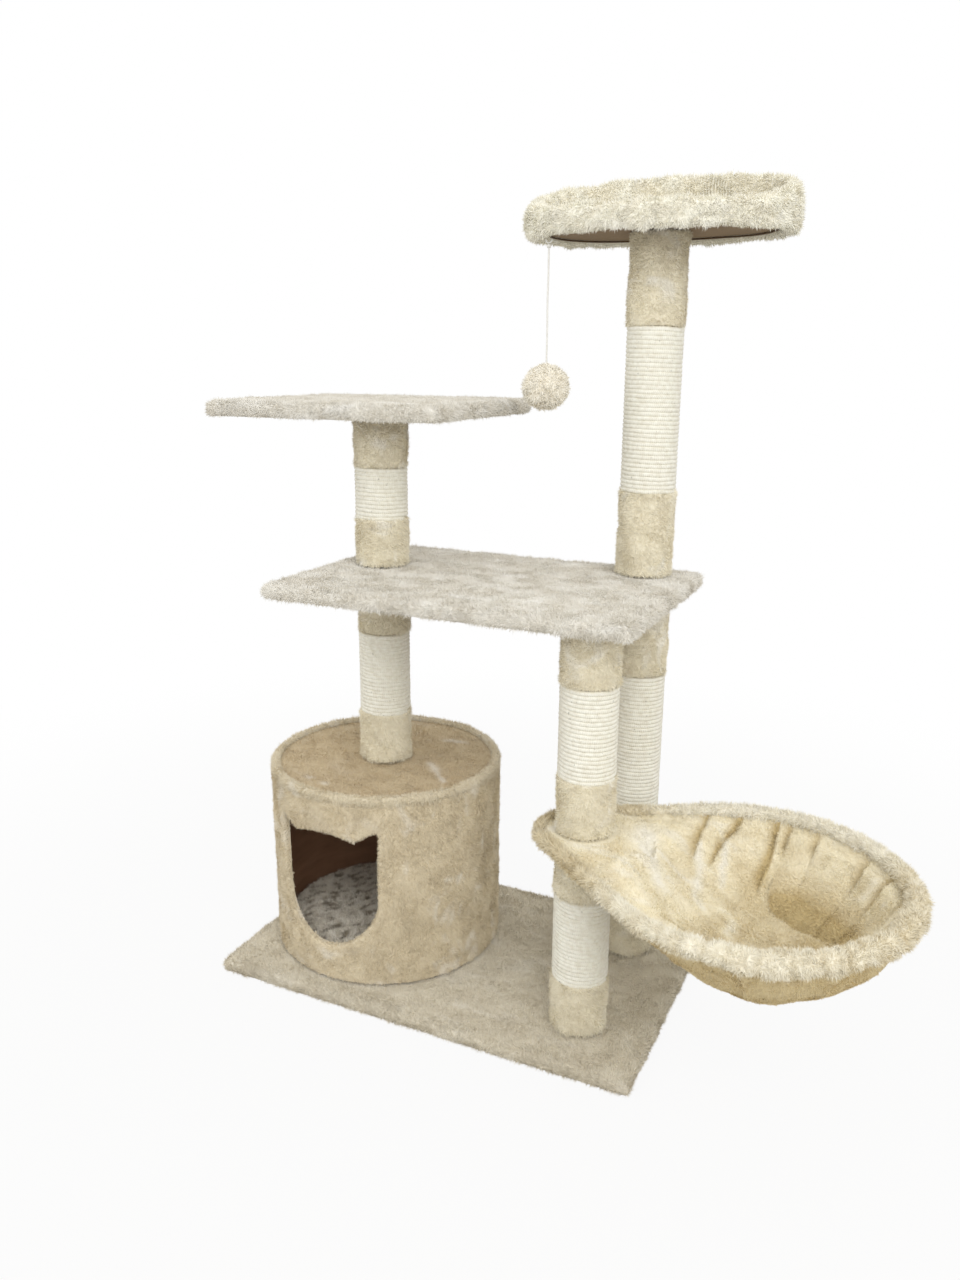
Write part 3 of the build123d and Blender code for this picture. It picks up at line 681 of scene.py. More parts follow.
def grow_pile(piece, material, seed, lean, length=None, density=1.0, width=1.0, swirl=1.0, fall=0.0, skin_kept=True):
    """Grow the plush pile on a skin; fall combs it up, or down if below 0."""
    plush = bpy.context.scene.cat_plush
    values = {
        "Density": plush.density * density,
        "Length": length or plush.length,
        "Width": plush.blade * width,
        "Lean": lean,
        "Swirl size": plush.swirl * swirl,
        "Comb": (0.0, 0.0, fall),
        "Seed": seed,
        "Skin kept": skin_kept,
        "Pile": material,
    }
    use_tree(piece, pile_tree(), values)


def settle(piece, body, nodes):
    """Ride a finished piece on its body, in place of its nodes."""
    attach(piece, body)
    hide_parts(*nodes)


# Covered boards


def board_loop(half, corner, inset, count):
    """One loop round a rounded board outline, inset from its edge."""
    least = 0.001
    radius = max(corner - inset, least)
    back = corner if inset < corner - least else inset + least
    core = Vector((half.x - back, half.y - back))
    loop = []
    sides = [(1, -1, 1, 1), (1, 1, -1, 1), (-1, 1, -1, -1), (-1, -1, 1, -1)]
    for k, (ax, ay, bx, by) in enumerate(sides):
        start = Vector((ax * core.x, ay * core.y))
        end = Vector((bx * core.x, by * core.y))
        out = Vector((math.cos(k * math.pi / 2), math.sin(k * math.pi / 2)))
        steps = count[k % 2]
        for i in range(steps):
            loop.append(start.lerp(end, i / steps) + out * radius)
        for i in range(4):
            angle = (k + i / 4) * math.pi / 2
            loop.append(end + Vector((math.cos(angle), math.sin(angle))) * radius)
    return loop


def board_cover(name, clear, full=0.0):
    """Skin of a board's plush cover; clear lists the columns and radii on it, full swells its right end."""
    low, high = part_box(name)
    high.x += full
    middle = (low + high) / 2
    half = (high - low) / 2
    step, spacing, hem = 0.008, 0.013, 0.016
    counts = (round(2 * half.y / step), round(2 * half.x / step))
    profile = [
        (0.030, low.z + 0.0008),
        (0.010, low.z + 0.0008),
        (0.0045, low.z + 0.0024),
        (0.0026, low.z + 0.006),
        (0.0022, (low.z + high.z) / 2),
        (0.0026, high.z - 0.0095),
        (0.0042, high.z - 0.0060),
        (0.0085, high.z - 0.0037),
        (0.0160, high.z - 0.0030),
    ]
    rows = []
    for inset, height in profile:
        row = []
        for p in board_loop(half, 0.006, inset, counts):
            place = Vector((middle.x + p.x, middle.y + p.y, height))
            out = Vector((p.x, p.y, 0)).normalized()
            edge = 1.0 if inset < 0.009 else 0.25
            lump = 0.0014 * wobble(place, 0.024, 3) + 0.0009 * wobble(place, 0.009, 5)
            row.append(place + (out + UP * 0.6) * lump * edge)
        rows.append(row)
    shape = bmesh.new()
    loops = [[shape.verts.new(p) for p in row] for row in rows]
    count = len(loops[0])
    for a, b in zip(loops, loops[1:]):
        for i in range(count):
            k = (i + 1) % count
            shape.faces.new((a[i], a[k], b[k], b[i]))
    rim = rows[-1]
    flat = [Vector((p.x, p.y)) for p in rim]
    limit = Vector((half.x - 0.024, half.y - 0.024))
    across = max(2, round(2 * limit.x / spacing))
    back = max(2, round(2 * limit.y / spacing))
    for i in range(across + 1):
        for j in range(back + 1):
            x = middle.x - limit.x + 2 * limit.x * i / across
            flat.append(Vector((x, middle.y - limit.y + 2 * limit.y * j / back)))
    ring = [(i, (i + 1) % count) for i in range(count)]
    spots, _, triangles, *_ = geometry.delaunay_2d_cdt(flat, ring, [], 1, 1e-6)
    tops = []
    for p in spots:
        nearest = min(rim, key=lambda q: (q.x - p.x) ** 2 + (q.y - p.y) ** 2)
        near = (nearest.x - p.x) ** 2 + (nearest.y - p.y) ** 2 < 1e-9
        height = nearest.z if near else high.z - 0.0030 + 0.0006 * wobble((p.x, p.y, 0), 0.03, 8)
        tops.append(shape.verts.new((p.x, p.y, height)))
    for corners in triangles:
        shape.faces.new([tops[i] for i in corners])
    bmesh.ops.remove_doubles(shape, verts=shape.verts, dist=DOUBLES)
    bmesh.ops.recalc_face_normals(shape, faces=shape.faces)
    if max(shape.faces, key=lambda f: f.calc_center_median().z).normal.z < 0:
        bmesh.ops.reverse_faces(shape, faces=shape.faces)
    unroll = shape.loops.layers.uv.new(SKIN_MAP)
    tall = high.z - low.z
    size = Vector((2 * half.x + 4 * tall + 0.08, 2 * half.y + 4 * tall + 0.08))
    core = Vector((half.x - hem, half.y - hem))
    for face in shape.faces:
        under = face.normal.z < -0.5
        for corner in face.loops:
            at = Vector((corner.vert.co.x - middle.x, corner.vert.co.y - middle.y))
            held = Vector((min(max(at.x, -core.x), core.x), min(max(at.y, -core.y), core.y)))
            out = at - held
            if out.length > 1e-6:
                fold = high.z - corner.vert.co.z + (hem - out.length if under else 0)
                at = at + out.normalized() * max(fold, 0)
            corner[unroll].uv = (at.x / size.x + 0.5, at.y / size.y + 0.5)
    mesh = plain_mesh(shape, name + "_plush")
    weights = []
    for vertex in mesh.vertices:
        spot = Vector((vertex.co.x, vertex.co.y, 0))
        free = all((spot - column).length > radius for column, radius in clear)
        top = vertex.co.z > high.z - 0.012
        under = vertex.co.z < low.z + 0.002
        edge = min(half.x - abs(vertex.co.x - middle.x), half.y - abs(vertex.co.y - middle.y))
        length = 1.0 - 0.45 * smooth_step(edge, 0.004, 0.022)
        weights.append(0.0 if under or (top and not free) else length)
    weigh(mesh, weights)
    return new_piece(mesh.name, mesh)


def lift_off_floor(piece):
    """Press the tufts that hang below the floor flat on it."""
    least = 0.0004
    places = [0.0] * (3 * len(piece.data.vertices))
    piece.data.vertices.foreach_get("co", places)
    places[2::3] = [max(up, least) for up in places[2::3]]
    piece.data.vertices.foreach_set("co", places)
    piece.data.update()


class CATTREE_OT_boards(Operator):
    """Cover base and platforms in plush"""

    bl_idname = "cat_tree.boards"
    bl_label = "Boards"

    def execute(self, context):
        plush = context.scene.cat_plush
        pale = plush_material("Stone plush", plush.stone, shade=0.88, brushed=0.7)
        # The base's plush is a darker, warmer copy of the stone plush: painted shade on the base
        shaded_stone = tinted(plush.stone, (0.92, 0.885, 0.80))
        shaded_stone_plush = plush_material("Sand plush", shaded_stone, shade=0.86, brushed=0.25)
        post = 0.030
        house = 0.158
        clear = {
            "base_cover": [(LEFT_COLUMN, house), (FRONT_COLUMN, post), (REAR_COLUMN, post)],
            "mid_cover": [(LEFT_COLUMN, post), (REAR_COLUMN, post)],
            "upper_cover": [],
        }
        for seed, (node, columns) in enumerate(clear.items(), 11):
            piece = board_cover(node, columns, 0.005 if node == "upper_cover" else 0.0)
            low = node == "base_cover"
            grow_pile(piece, shaded_stone_plush if low else pale, seed, lean=1.5, fall=0.4 if low else 0.0)
            if low:
                lift_off_floor(piece)
            settle(piece, "stand", [node])
        return {"FINISHED"}


# Posts


def post_sleeve(node):
    """Rows of points round one plush sleeve, tucked in at both ends."""
    low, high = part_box(node)
    middle = centre_of(node)
    outer = (high.x - low.x) / 2
    skin_radius = outer - PILE_ROOM
    tall = high.z - low.z
    steps = max(4, round(tall / 0.007))
    heights = [(TUBE_SURFACE, low.z + 0.0004), (skin_radius - 0.0012, low.z + 0.0008)]
    heights += [(skin_radius, low.z + 0.003 + (tall - 0.006) * i / steps) for i in range(steps + 1)]
    heights += [(skin_radius - 0.0012, high.z - 0.0008), (TUBE_SURFACE, high.z - 0.0004)]
    rows = []
    for radius, height in heights:
        row = []
        for i in range(52):
            angle = 2 * math.pi * i / 52
            way = Vector((math.cos(angle), math.sin(angle), 0))
            place = middle + way * radius + UP * height
            lump = 0.0023 * wobble(place, 0.026, 2) + 0.0009 * wobble(place, 0.010, 6)
            row.append(place + way * (lump if radius > TUBE_SURFACE else 0))
        rows.append(row)
    return rows


class CATTREE_OT_sleeves(Operator):
    """Pull plush sleeves over the ends of the posts"""

    bl_idname = "cat_tree.sleeves"
    bl_label = "Post sleeves"

    def execute(self, context):
        plush = context.scene.cat_plush
        material = plush_material("Beige plush", plush.beige, shade=0.86, patch=0.03, brushed=0.7)
        for seed, post in enumerate(POSTS, 31):
            points, faces, corner_map, weights = [], [], [], []
            nodes = [post + "_lower_sleeve", post + "_upper_sleeve"]
            for half, node in enumerate(nodes):
                rows = post_sleeve(node)
                part, part_faces, part_map = grid(rows)
                faces += [tuple(i + len(points) for i in face) for face in part_faces]
                corner_map += [(u, (v + half) / 2) for u, v in part_map]
                points += part
                count = len(rows[0])
                for j in range(len(rows)):
                    end = min(j, len(rows) - 1 - j)
                    weights += [0.0 if end == 0 else 0.95 if end < 3 else 0.68] * count
            piece = skin(post + "_sleeves", points, faces, corner_map, weights)
            grow_pile(piece, material, seed, lean=1.2, fall=-0.35)
            settle(piece, "stand", nodes)
        return {"FINISHED"}


class CATTREE_OT_ropes(Operator):
    """Wind rope round the posts between their sleeves"""

    bl_idname = "cat_tree.ropes"
    bl_label = "Ropes"

    def execute(self, context):
        rope = context.scene.cat_rope
        material = rope_material(rope.fibre)
        for post in POSTS:
            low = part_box(post + "_lower_sleeve")[1].z
            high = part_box(post + "_upper_sleeve")[0].z
            foot = centre_of(post + "_tube")
            foot.z = low - rope.diameter * 0.15
            tall = high - low + rope.diameter * 0.3
            piece = new_piece(post + "_rope", bpy.data.meshes.new(post + "_rope"))
            values = {
                "Foot": foot,
                "Height": tall,
                "Radius": TUBE_SURFACE + rope.diameter * 0.4,
                "Rope": rope.diameter * 1.3,
                "Turns": float(round(tall / rope.diameter)),
                "Sides": rope.sides,
                "Fibre": material,
            }
            use_tree(piece, rope_tree(), values)
            settle(piece, "stand", ["sisal_ropes"])
        return {"FINISHED"}


# Cat house


def door_outline(house):
    """The doorway's outline in the cloth, across and up from the middle of its foot."""
    cheek = house.door_width / 2 + house.fuzz
    chin = house.sill - house.fuzz + cheek
    ear, dip_height, brow = house.ear + house.fuzz, house.dip + house.fuzz, house.brow + house.fuzz
    line = []
    for i in range(25):
        angle = math.pi + math.pi * i / 24
        line.append((cheek * math.cos(angle), chin + cheek * math.sin(angle)))
    dip = cheek - house.ear_width
    ear_tip = [(cheek, ear - 0.007), (cheek - 0.003, ear - 0.002), (cheek - 0.009, ear - 0.003)]
    marks = ear_tip + [(dip, dip_height)]
    for i in range(1, 12):
        across = dip - 2 * dip * i / 12
        marks.append((across, dip_height + (brow - dip_height) * (1 - (across / dip) ** 2)))
    marks.append((-dip, dip_height))
    marks += [(-across, up) for across, up in reversed(ear_tip)]
    corners = [line[-1], *marks, line[0]]
    for a, b in zip(corners, corners[1:]):
        steps = max(1, round(math.dist(a, b) / 0.007))
        line += [tuple(Vector(a).lerp(Vector(b), i / steps)) for i in range(1, steps + 1)]
    return line[:-1]


def inside(outline, across, up):
    """True if a spot lies inside a closed outline."""
    hit = False
    for (ax, ay), (bx, by) in zip(outline, outline[1:] + outline[:1]):
        if (ay > up) != (by > up) and across < (bx - ax) * (up - ay) / (by - ay) + ax:
            hit = not hit
    return hit


def house_wall_cover(house):
    """Skin of the house's plush cover: a drum with the doorway cut out and its edges turned in."""
    low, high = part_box("house_cover")
    middle = (low + high) / 2
    radius = (high.x - low.x) / 2 - PILE_ROOM
    round_trip = math.pi * radius
    outline = []
    for across, up in door_outline(house):
        outline.append((radius * math.asin((across + house.door_shift) / radius), low.z + up))
    spots = [Vector(p) for p in outline]
    ring = [(i, (i + 1) % len(spots)) for i in range(len(spots))]
    columns, levels = 128, 27
    for j in range(levels + 1):
        for i in range(columns + 1):
            across = -round_trip + 2 * round_trip * i / columns
            up = low.z + 0.0006 + (high.z - low.z - 0.0012) * j / levels
            close = any((across - x) ** 2 + (up - z) ** 2 < 0.004**2 for x, z in outline)
            if not inside(outline, across, up) and not close:
                spots.append(Vector((across, up)))
    places, _, triangles, *_ = geometry.delaunay_2d_cdt(spots, ring, [], 0, 1e-6)
    shape = bmesh.new()
    unroll = shape.loops.layers.uv.new(SKIN_MAP)
    flat = shape.verts.layers.float_vector.new("unrolled")
    verts = []
    for p in places:
        angle = p.x / radius
        way = Vector((math.sin(angle), -math.cos(angle), 0))
        place = Vector((middle.x, middle.y, p.y)) + way * radius
        lump = 0.0014 * wobble(place, 0.030, 12) + 0.0007 * wobble(place, 0.011, 15)
        lump *= smooth_step(min(math.dist(p, q) for q in outline), 0.001, 0.014)
        vertex = shape.verts.new(place + way * lump)
        vertex[flat] = (p.x, p.y, 0)
        verts.append(vertex)
    for corners in triangles:
        at = sum((places[i] for i in corners), Vector((0, 0))) / 3
        if not inside(outline, at.x, at.y):
            shape.faces.new([verts[i] for i in corners])
    bmesh.ops.delete(shape, geom=[v for v in shape.verts if not v.link_faces], context="VERTS")
    for face in shape.faces:
        face.normal_update()
        out = face.calc_center_median() - Vector((middle.x, middle.y, 0))
        if face.normal.dot(Vector((out.x, out.y, 0))) < 0:
            face.normal_flip()

    def turn_in(edges, depth, shift):
        """Fold a free edge inwards, and its unrolled place along with it."""
        folded = bmesh.ops.extrude_edge_only(shape, edges=edges)
        for vertex in [g for g in folded["geom"] if isinstance(g, bmesh.types.BMVert)]:
            way = Vector((vertex.co.x - middle.x, vertex.co.y - middle.y, 0)).normalized()
            spot = vertex[flat].xy
            step = shift(spot)
            side = Vector((-way.y, way.x, 0))
            vertex.co += side * step.x + UP * step.y - way * depth
            spot = spot + step.normalized() * (depth + step.length)
            vertex[flat] = (spot.x, spot.y, 0)
        return [g for g in folded["geom"] if isinstance(g, bmesh.types.BMEdge) and g.is_boundary]

    door, top = [], []
    for edge in [e for e in shape.edges if e.is_boundary]:
        ups = [v[flat].y for v in edge.verts]
        if min(ups) > high.z - 0.002:
            top.append(edge)
        elif min(ups) > low.z + 0.01 and all(abs(v[flat].x) < 0.7 * round_trip for v in edge.verts):
            door.append(edge)
    heart = Vector((radius * math.asin(house.door_shift / radius), low.z + house.sill + house.door_width / 2))
    inner = turn_in(door, 0.0022, lambda spot: (heart - spot).normalized() * 0.0032)
    turn_in(inner, 0.0066, lambda spot: (heart - spot).normalized() * 0.0004)
    turn_in(top, 0.0080, lambda spot: Vector((0, 0.0001)))
    for face in shape.faces:
        for corner in face.loops:
            spot = corner.vert[flat]
            corner[unroll].uv = (spot.x / (2 * round_trip) + 0.5, (spot.y - low.z) / (high.z - low.z + 0.01))
    bmesh.ops.remove_doubles(shape, verts=shape.verts, dist=DOUBLES)
    shape.verts.index_update()
    shape.faces.index_update()

    def rank(face):
        """Triangles keep their order; the folded strips come in any order, and go by their points."""
        return len(face.verts), [face.index] if len(face.verts) == 3 else [v.index for v in face.verts]

    for i, face in enumerate(sorted(shape.faces, key=rank)):
        face.index = i
    shape.faces.sort()
    ends = {v for edge in shape.edges if edge.is_boundary for v in edge.verts}
    rims = {v.index for end in ends for edge in end.link_edges for v in edge.verts}
    mesh = plain_mesh(shape, "house_plush")
    mesh.attributes.remove(mesh.attributes["unrolled"])
    weigh(mesh, [0.62 if v.index in rims else 0.72 for v in mesh.vertices])
    return new_piece("house_plush", mesh)


def turned_skin(name, middle, profile, count, lumps, tone=None):
    """Skin turned about an upright line from a profile of radii and heights, with the tone at each spot."""
    rows = []
    for radius, height in profile:
        row = []
        for i in range(count):
            angle = 2 * math.pi * i / count
            place = middle + Vector((radius * math.cos(angle), radius * math.sin(angle), height))
            lump = lumps * (wobble(place, 0.028, 21) + 0.4 * wobble(place, 0.010, 23))
            row.append(place + UP * lump)
        rows.append(row)
    points, faces, corner_map = grid(rows)
    tones = [tone(Vector(p) - middle) for p in points] if tone else None
    return skin(name, points, faces, corner_map, [1.0] * len(points), tones)


def cushion_streaks(spot):
    """Tone of the dark streaks in the cushion's long pile: painted shade in the partings between its tufts."""
    drawn = Vector((spot.x - 0.6 * spot.y, 0.45 * (spot.y + 0.6 * spot.x), 0))
    return -smooth_step(wobble(drawn, 0.009, 27), 0.06, 0.36)


def brushed_marks(spot):
    """Tone of the few brush marks on the lid, seen from above: crushed pile, painted pale as its sheen."""
    best = 0.0
    for (ax, ay), (bx, by), wide in LID_MARKS:
        a, b = Vector((ax, ay)), Vector((bx, by))
        part = min(max((spot.xy - a).dot(b - a) / (b - a).length_squared, 0.0), 1.0)
        away = (spot.xy - a.lerp(b, part)).length + 0.003 * wobble(spot, 0.010, 25)
        best = max(best, 0.8 * math.exp(-((away / wide) ** 2)))
    return best


# Brush marks on the lid, crushed pile painted pale as its sheen: from, to and half width
LID_MARKS = (
    ((0.070, 0.002), (0.090, -0.018), 0.006),
    ((0.090, -0.018), (0.118, -0.049), 0.004),
    ((0.048, 0.092), (0.076, 0.097), 0.006),
    ((-0.060, -0.113), (-0.052, -0.115), 0.004),
    ((-0.028, -0.122), (-0.020, -0.124), 0.004),
)


class CATTREE_OT_house(Operator):
    """Cover the house, and lay its lid and piping"""

    bl_idname = "cat_tree.house"
    bl_label = "Cat house"

    def execute(self, context):
        plush, house = context.scene.cat_plush, context.scene.cat_house
        material = plush_material("Tan plush", plush.tan, shade=0.84, patch=0.045, brushed=0.6)
        wall = house_wall_cover(house)
        grow_pile(wall, material, 51, lean=1.25, fall=-0.3)
        settle(wall, "stand", ["house_cover"])

        low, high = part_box("house_lid_cover")
        reach = (high.x - low.x) / 2
        top = high.z - 0.0028
        rings = [(0.028 + (reach - 0.034) * i / 27, top) for i in range(28)]
        rings += [(reach - 0.0015, top - 0.0008), (reach + 0.005, low.z + 0.0015)]
        lid = turned_skin("house_lid_plush", LEFT_COLUMN, rings[::-1], 170, 0.0005, brushed_marks)
        # The lid's plush is a darker copy of the tan: painted shade under the mid platform; its short flat pile is
        # real
        flat_shaded_tan = plush_material("Lid plush", tinted(plush.tan, (0.86, 0.815, 0.745)), shade=0.93, brushed=0.12)
        grow_pile(lid, flat_shaded_tan, 52, lean=1.8, length=plush.length * 0.42)
        settle(lid, "stand", ["house_lid_cover"])

        low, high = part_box("house_piping")
        reach = (high.x - low.x) / 2
        edge = [(0.0042, -0.0024), (0.0036, 0.0010), (0.0038, 0.0050), (0.0050, 0.0077), (0.0075, 0.0088)]
        edge += [(0.0100, 0.0077), (0.0113, 0.0050), (0.0118, 0.0012), (0.0080, -0.0010), (0.0042, -0.0024)]
        ring = [(reach - inset, low.z + up) for inset, up in edge]
        piping = turned_skin("house_piping_plush", LEFT_COLUMN, ring, 150, 0.0010)
        edging = plush_material("Edging plush", tinted(plush.tan, (1.03, 1.06, 1.12)), shade=0.90)
        grow_pile(piping, edging, 53, length=0.0058, lean=1.1, density=1.1, fall=-0.5)
        settle(piping, "stand", ["house_piping"])
        return {"FINISHED"}


class CATTREE_OT_cushion(Operator):
    """Lay the loose cushion in the house"""

    bl_idname = "cat_tree.cushion"
    bl_label = "House cushion"

    def execute(self, context):
        plush = context.scene.cat_plush
        low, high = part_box("house_cushion")
        reach = (high.x - low.x) / 2 - 0.003
        tall = high.z - low.z - 0.003
        rings = [(0.001, low.z + 0.0005), (reach - 0.010, low.z + 0.0005), (reach - 0.003, low.z + 0.003)]
        rings += [(reach, low.z + 0.0065), (reach - 0.004, low.z + 0.011)]
        for i in range(1, 37):
            part = 1 - i / 36
            rings.append((max((reach - 0.006) * part, 0.001), low.z + tall - (tall - 0.012) * part**2.2))
        piece = turned_skin("cushion_plush", LEFT_COLUMN, rings, 180, 0.0014, cushion_streaks)
        # Its deep colour is the painted shade in the partings between tufts
        material = plush_material(
            "Grey plush", plush.grey, shade=0.88, patch=0.008, tuft=0.0035, brushed=0.0, deep=(0.40, 0.355, 0.29)
        )
        grow_pile(piece, material, 61, length=0.0060, lean=2.0, width=1.4, density=0.9, swirl=0.4)
        settle(piece, "stand", ["house_cushion"])
        return {"FINISHED"}


# Basket

# Creases of the gathered cloth: part of the hoop from its far end round, depth, reach and drift on the way down
CREASES = (
    (0.036, 0.5, 0.35, 0.004), (0.080, 0.9, 0.62, 0.012), (0.124, 0.7, 0.50, 0.010), (0.188, 0.7, 0.34, 0.014),
    (0.221, 0.8, 0.36, 0.024), (0.236, 1.0, 1.00, 0.008), (0.274, 1.0, 1.00, 0.034), (0.311, 1.0, 1.10, 0.018),
    (0.352, 0.3, 0.50, 0.000), (0.470, 0.2, 0.40, 0.000), (0.600, 0.3, 0.50, 0.000), (0.655, 0.5, 0.60, 0.006),
    (0.712, 0.6, 0.50, 0.000), (0.741, 0.8, 0.70, -0.006), (0.808, 0.9, 0.75, 0.000), (0.840, 0.5, 0.45, 0.006),
    (0.889, 0.9, 0.75, -0.004), (0.948, 0.7, 0.55, 0.000),
)
# Streaks where the pile is crushed, painted pale as its sheen, seen from above, with their half widths
STREAKS = (
    (((0.060, 0.050), (0.067, 0.028), (0.070, 0.014), (0.084, -0.004), (0.107, -0.035)), 0.014),
    (((0.119, 0.090), (0.128, 0.051), (0.136, 0.014), (0.152, -0.003)), 0.006),
    (((0.138, 0.122), (0.142, 0.110), (0.148, 0.098), (0.150, 0.070)), 0.005),
    (((0.168, 0.022), (0.188, 0.020), (0.186, -0.015)), 0.006),
)
# The fold that runs down the far side and over the floor, seen from above
FOLD = (
    (0.199, 0.175), (0.196, 0.125), (0.198, 0.105), (0.205, 0.088), (0.218, 0.072), (0.238, 0.060),
    (0.262, 0.050), (0.295, 0.036), (0.326, 0.010), (0.345, -0.040), (0.350, -0.120),
)


def hoop_line(basket, inset, count):
    """Points of the hoop's outline in the basket's own plane, from its far end round."""
    lean = math.asin((basket.hoop - basket.neck) / basket.reach)
    large, small = basket.hoop - inset, basket.neck - inset
    wide = math.pi / 2 + lean
    line = []
    for i in range(121):
        angle = -wide + 2 * wide * i / 120
        line.append(Vector((basket.reach + large * math.cos(angle), large * math.sin(angle), 0)))
    for i in range(61):
        angle = wide + (2 * math.pi - 2 * wide) * i / 60
        line.append(Vector((small * math.cos(angle), small * math.sin(angle), 0)))
    return evenly(line[60:] + line[:60], count)


def basket_frame(basket):
    """From the basket's own plane to the scene."""
    low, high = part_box("basket_plate")
    level = (low.z + high.z) / 2
    return Matrix.Translation(FRONT_COLUMN + UP * level) @ Matrix.Rotation(basket.angle, 4, "Z")


def basket_roll(basket):
    """Skin of the stuffed roll that hides the hoop, gathered in uneven puffs."""
    count, sides = 560, 20
    line = hoop_line(basket, 0.0, count)
    place = basket_frame(basket)
    step = (line[1] - line[0]).length
    pinches, at = [], 0.0
    while at < step * count - 0.020:
        pinches.append(at)
        at += 0.026 + 0.016 * wobble((at * 60, 0, 0), 1.0, 31)
    rows, weights, tones = [], [], []
    for i, p in enumerate(line):
        out = outward(line, i)
        broad = smooth_step(p.x, 0.10, 0.26) * (1 - 0.6 * smooth_step(p.y, 0.02, 0.12))
        radius = basket.roll_neck + (basket.roll - basket.roll_neck) * broad
        pinch = 0.0
        for q in pinches:
            pinch = max(pinch, (0.5 + wobble((q * 90, 1, 0), 1.0, 34)) * math.exp(-(((i * step - q) / 0.0042) ** 2)))
        puff = 1 - (0.04 + 0.28 * broad) * pinch + 0.12 * wobble(p, 0.045, 33)
        droop = 0.002 * smooth_step(-p.y, 0.03, 0.13) * (1 - smooth_step(p.x, 0.26, 0.34))
        lift = 0.003 * wobble(p, 0.030, 35) * broad - droop
        neck = 1 - smooth_step(p.x, 0.02, 0.12)
        end = smooth_step(p.x, 0.30, 0.37)
        back = smooth_step(p.y, 0.06, 0.14)
        row = []
        for j in range(sides):
            angle = -2 * math.pi * j / sides
            ring = p + UP * (math.sin(angle) * 0.014) + out * math.cos(angle) * 0.014
            curl = 0.20 * wobble(ring, 0.015, 37) + 0.18 * wobble(ring, 0.008, 39)
            size = max(radius * (puff + curl * (0.4 + 0.6 * broad)), 0.0056)
            side = out * math.cos(angle) * size + UP * (math.sin(angle) * size + lift)
            row.append(place @ (p + side))
            # Painted light and shade: paler at the back, darker at the neck by the post, at the far end, in the
            # pinches and on the roll's underside; the wobble is random tone
            tone = 0.30 * back - 0.60 * neck - 0.30 * end - 0.45 * pinch * broad
            tone += 0.25 * wobble(ring, 0.020, 38) - 0.25 * smooth_step(-math.sin(angle), 0.1, 0.8)
            tones.append(tone)
            weights.append(1 - 0.45 * min(pinch, 1.0) * broad)
        rows.append(row)
    return ring_skin("basket_roll_plush", rows, weights, tones)


def gather(part, v, hoop_length):
    """How proud the gathered cloth stands between its creases, and how deep in a crease it lies."""
    groove, lobe = 0.0, 0.0
    marks = [(mark + drift * v, depth, reach) for mark, depth, reach, drift in CREASES]
    marks.append((marks[0][0] + 1, *marks[0][1:]))
    place = part % 1.0
    place += 1 if place < marks[0][0] else 0
    for a, b in zip(marks, marks[1:]):
        if a[0] <= place < b[0]:
            for mark, depth, reach in (a, b):
                off = (place - mark) * hoop_length
                fade = depth * (1 - smooth_step(v, reach * 0.6, reach))
                groove = max(groove, fade * math.exp(-((off / (0.0110 if off > 0 else 0.0028)) ** 2)))
            lobe = math.sqrt(max(1 - (2 * (place - a[0]) / (b[0] - a[0]) - 1) ** 2, 0.0))
    return 0.4 * lobe + 0.6 * (1 - groove), groove


def beside(line, x, y):
    """Distance from a line seen from above, above 0 on its left."""
    best, side = 1.0, 1.0
    for (ax, ay), (bx, by) in zip(line, line[1:]):
        dx, dy = bx - ax, by - ay
        part = min(max(((x - ax) * dx + (y - ay) * dy) / (dx * dx + dy * dy), 0.0), 1.0)
        away = math.hypot(x - ax - part * dx, y - ay - part * dy)
        if away < best:
            best, side = away, -1.0 if dx * (y - ay) - dy * (x - ax) > 0 else 1.0
    return best * side


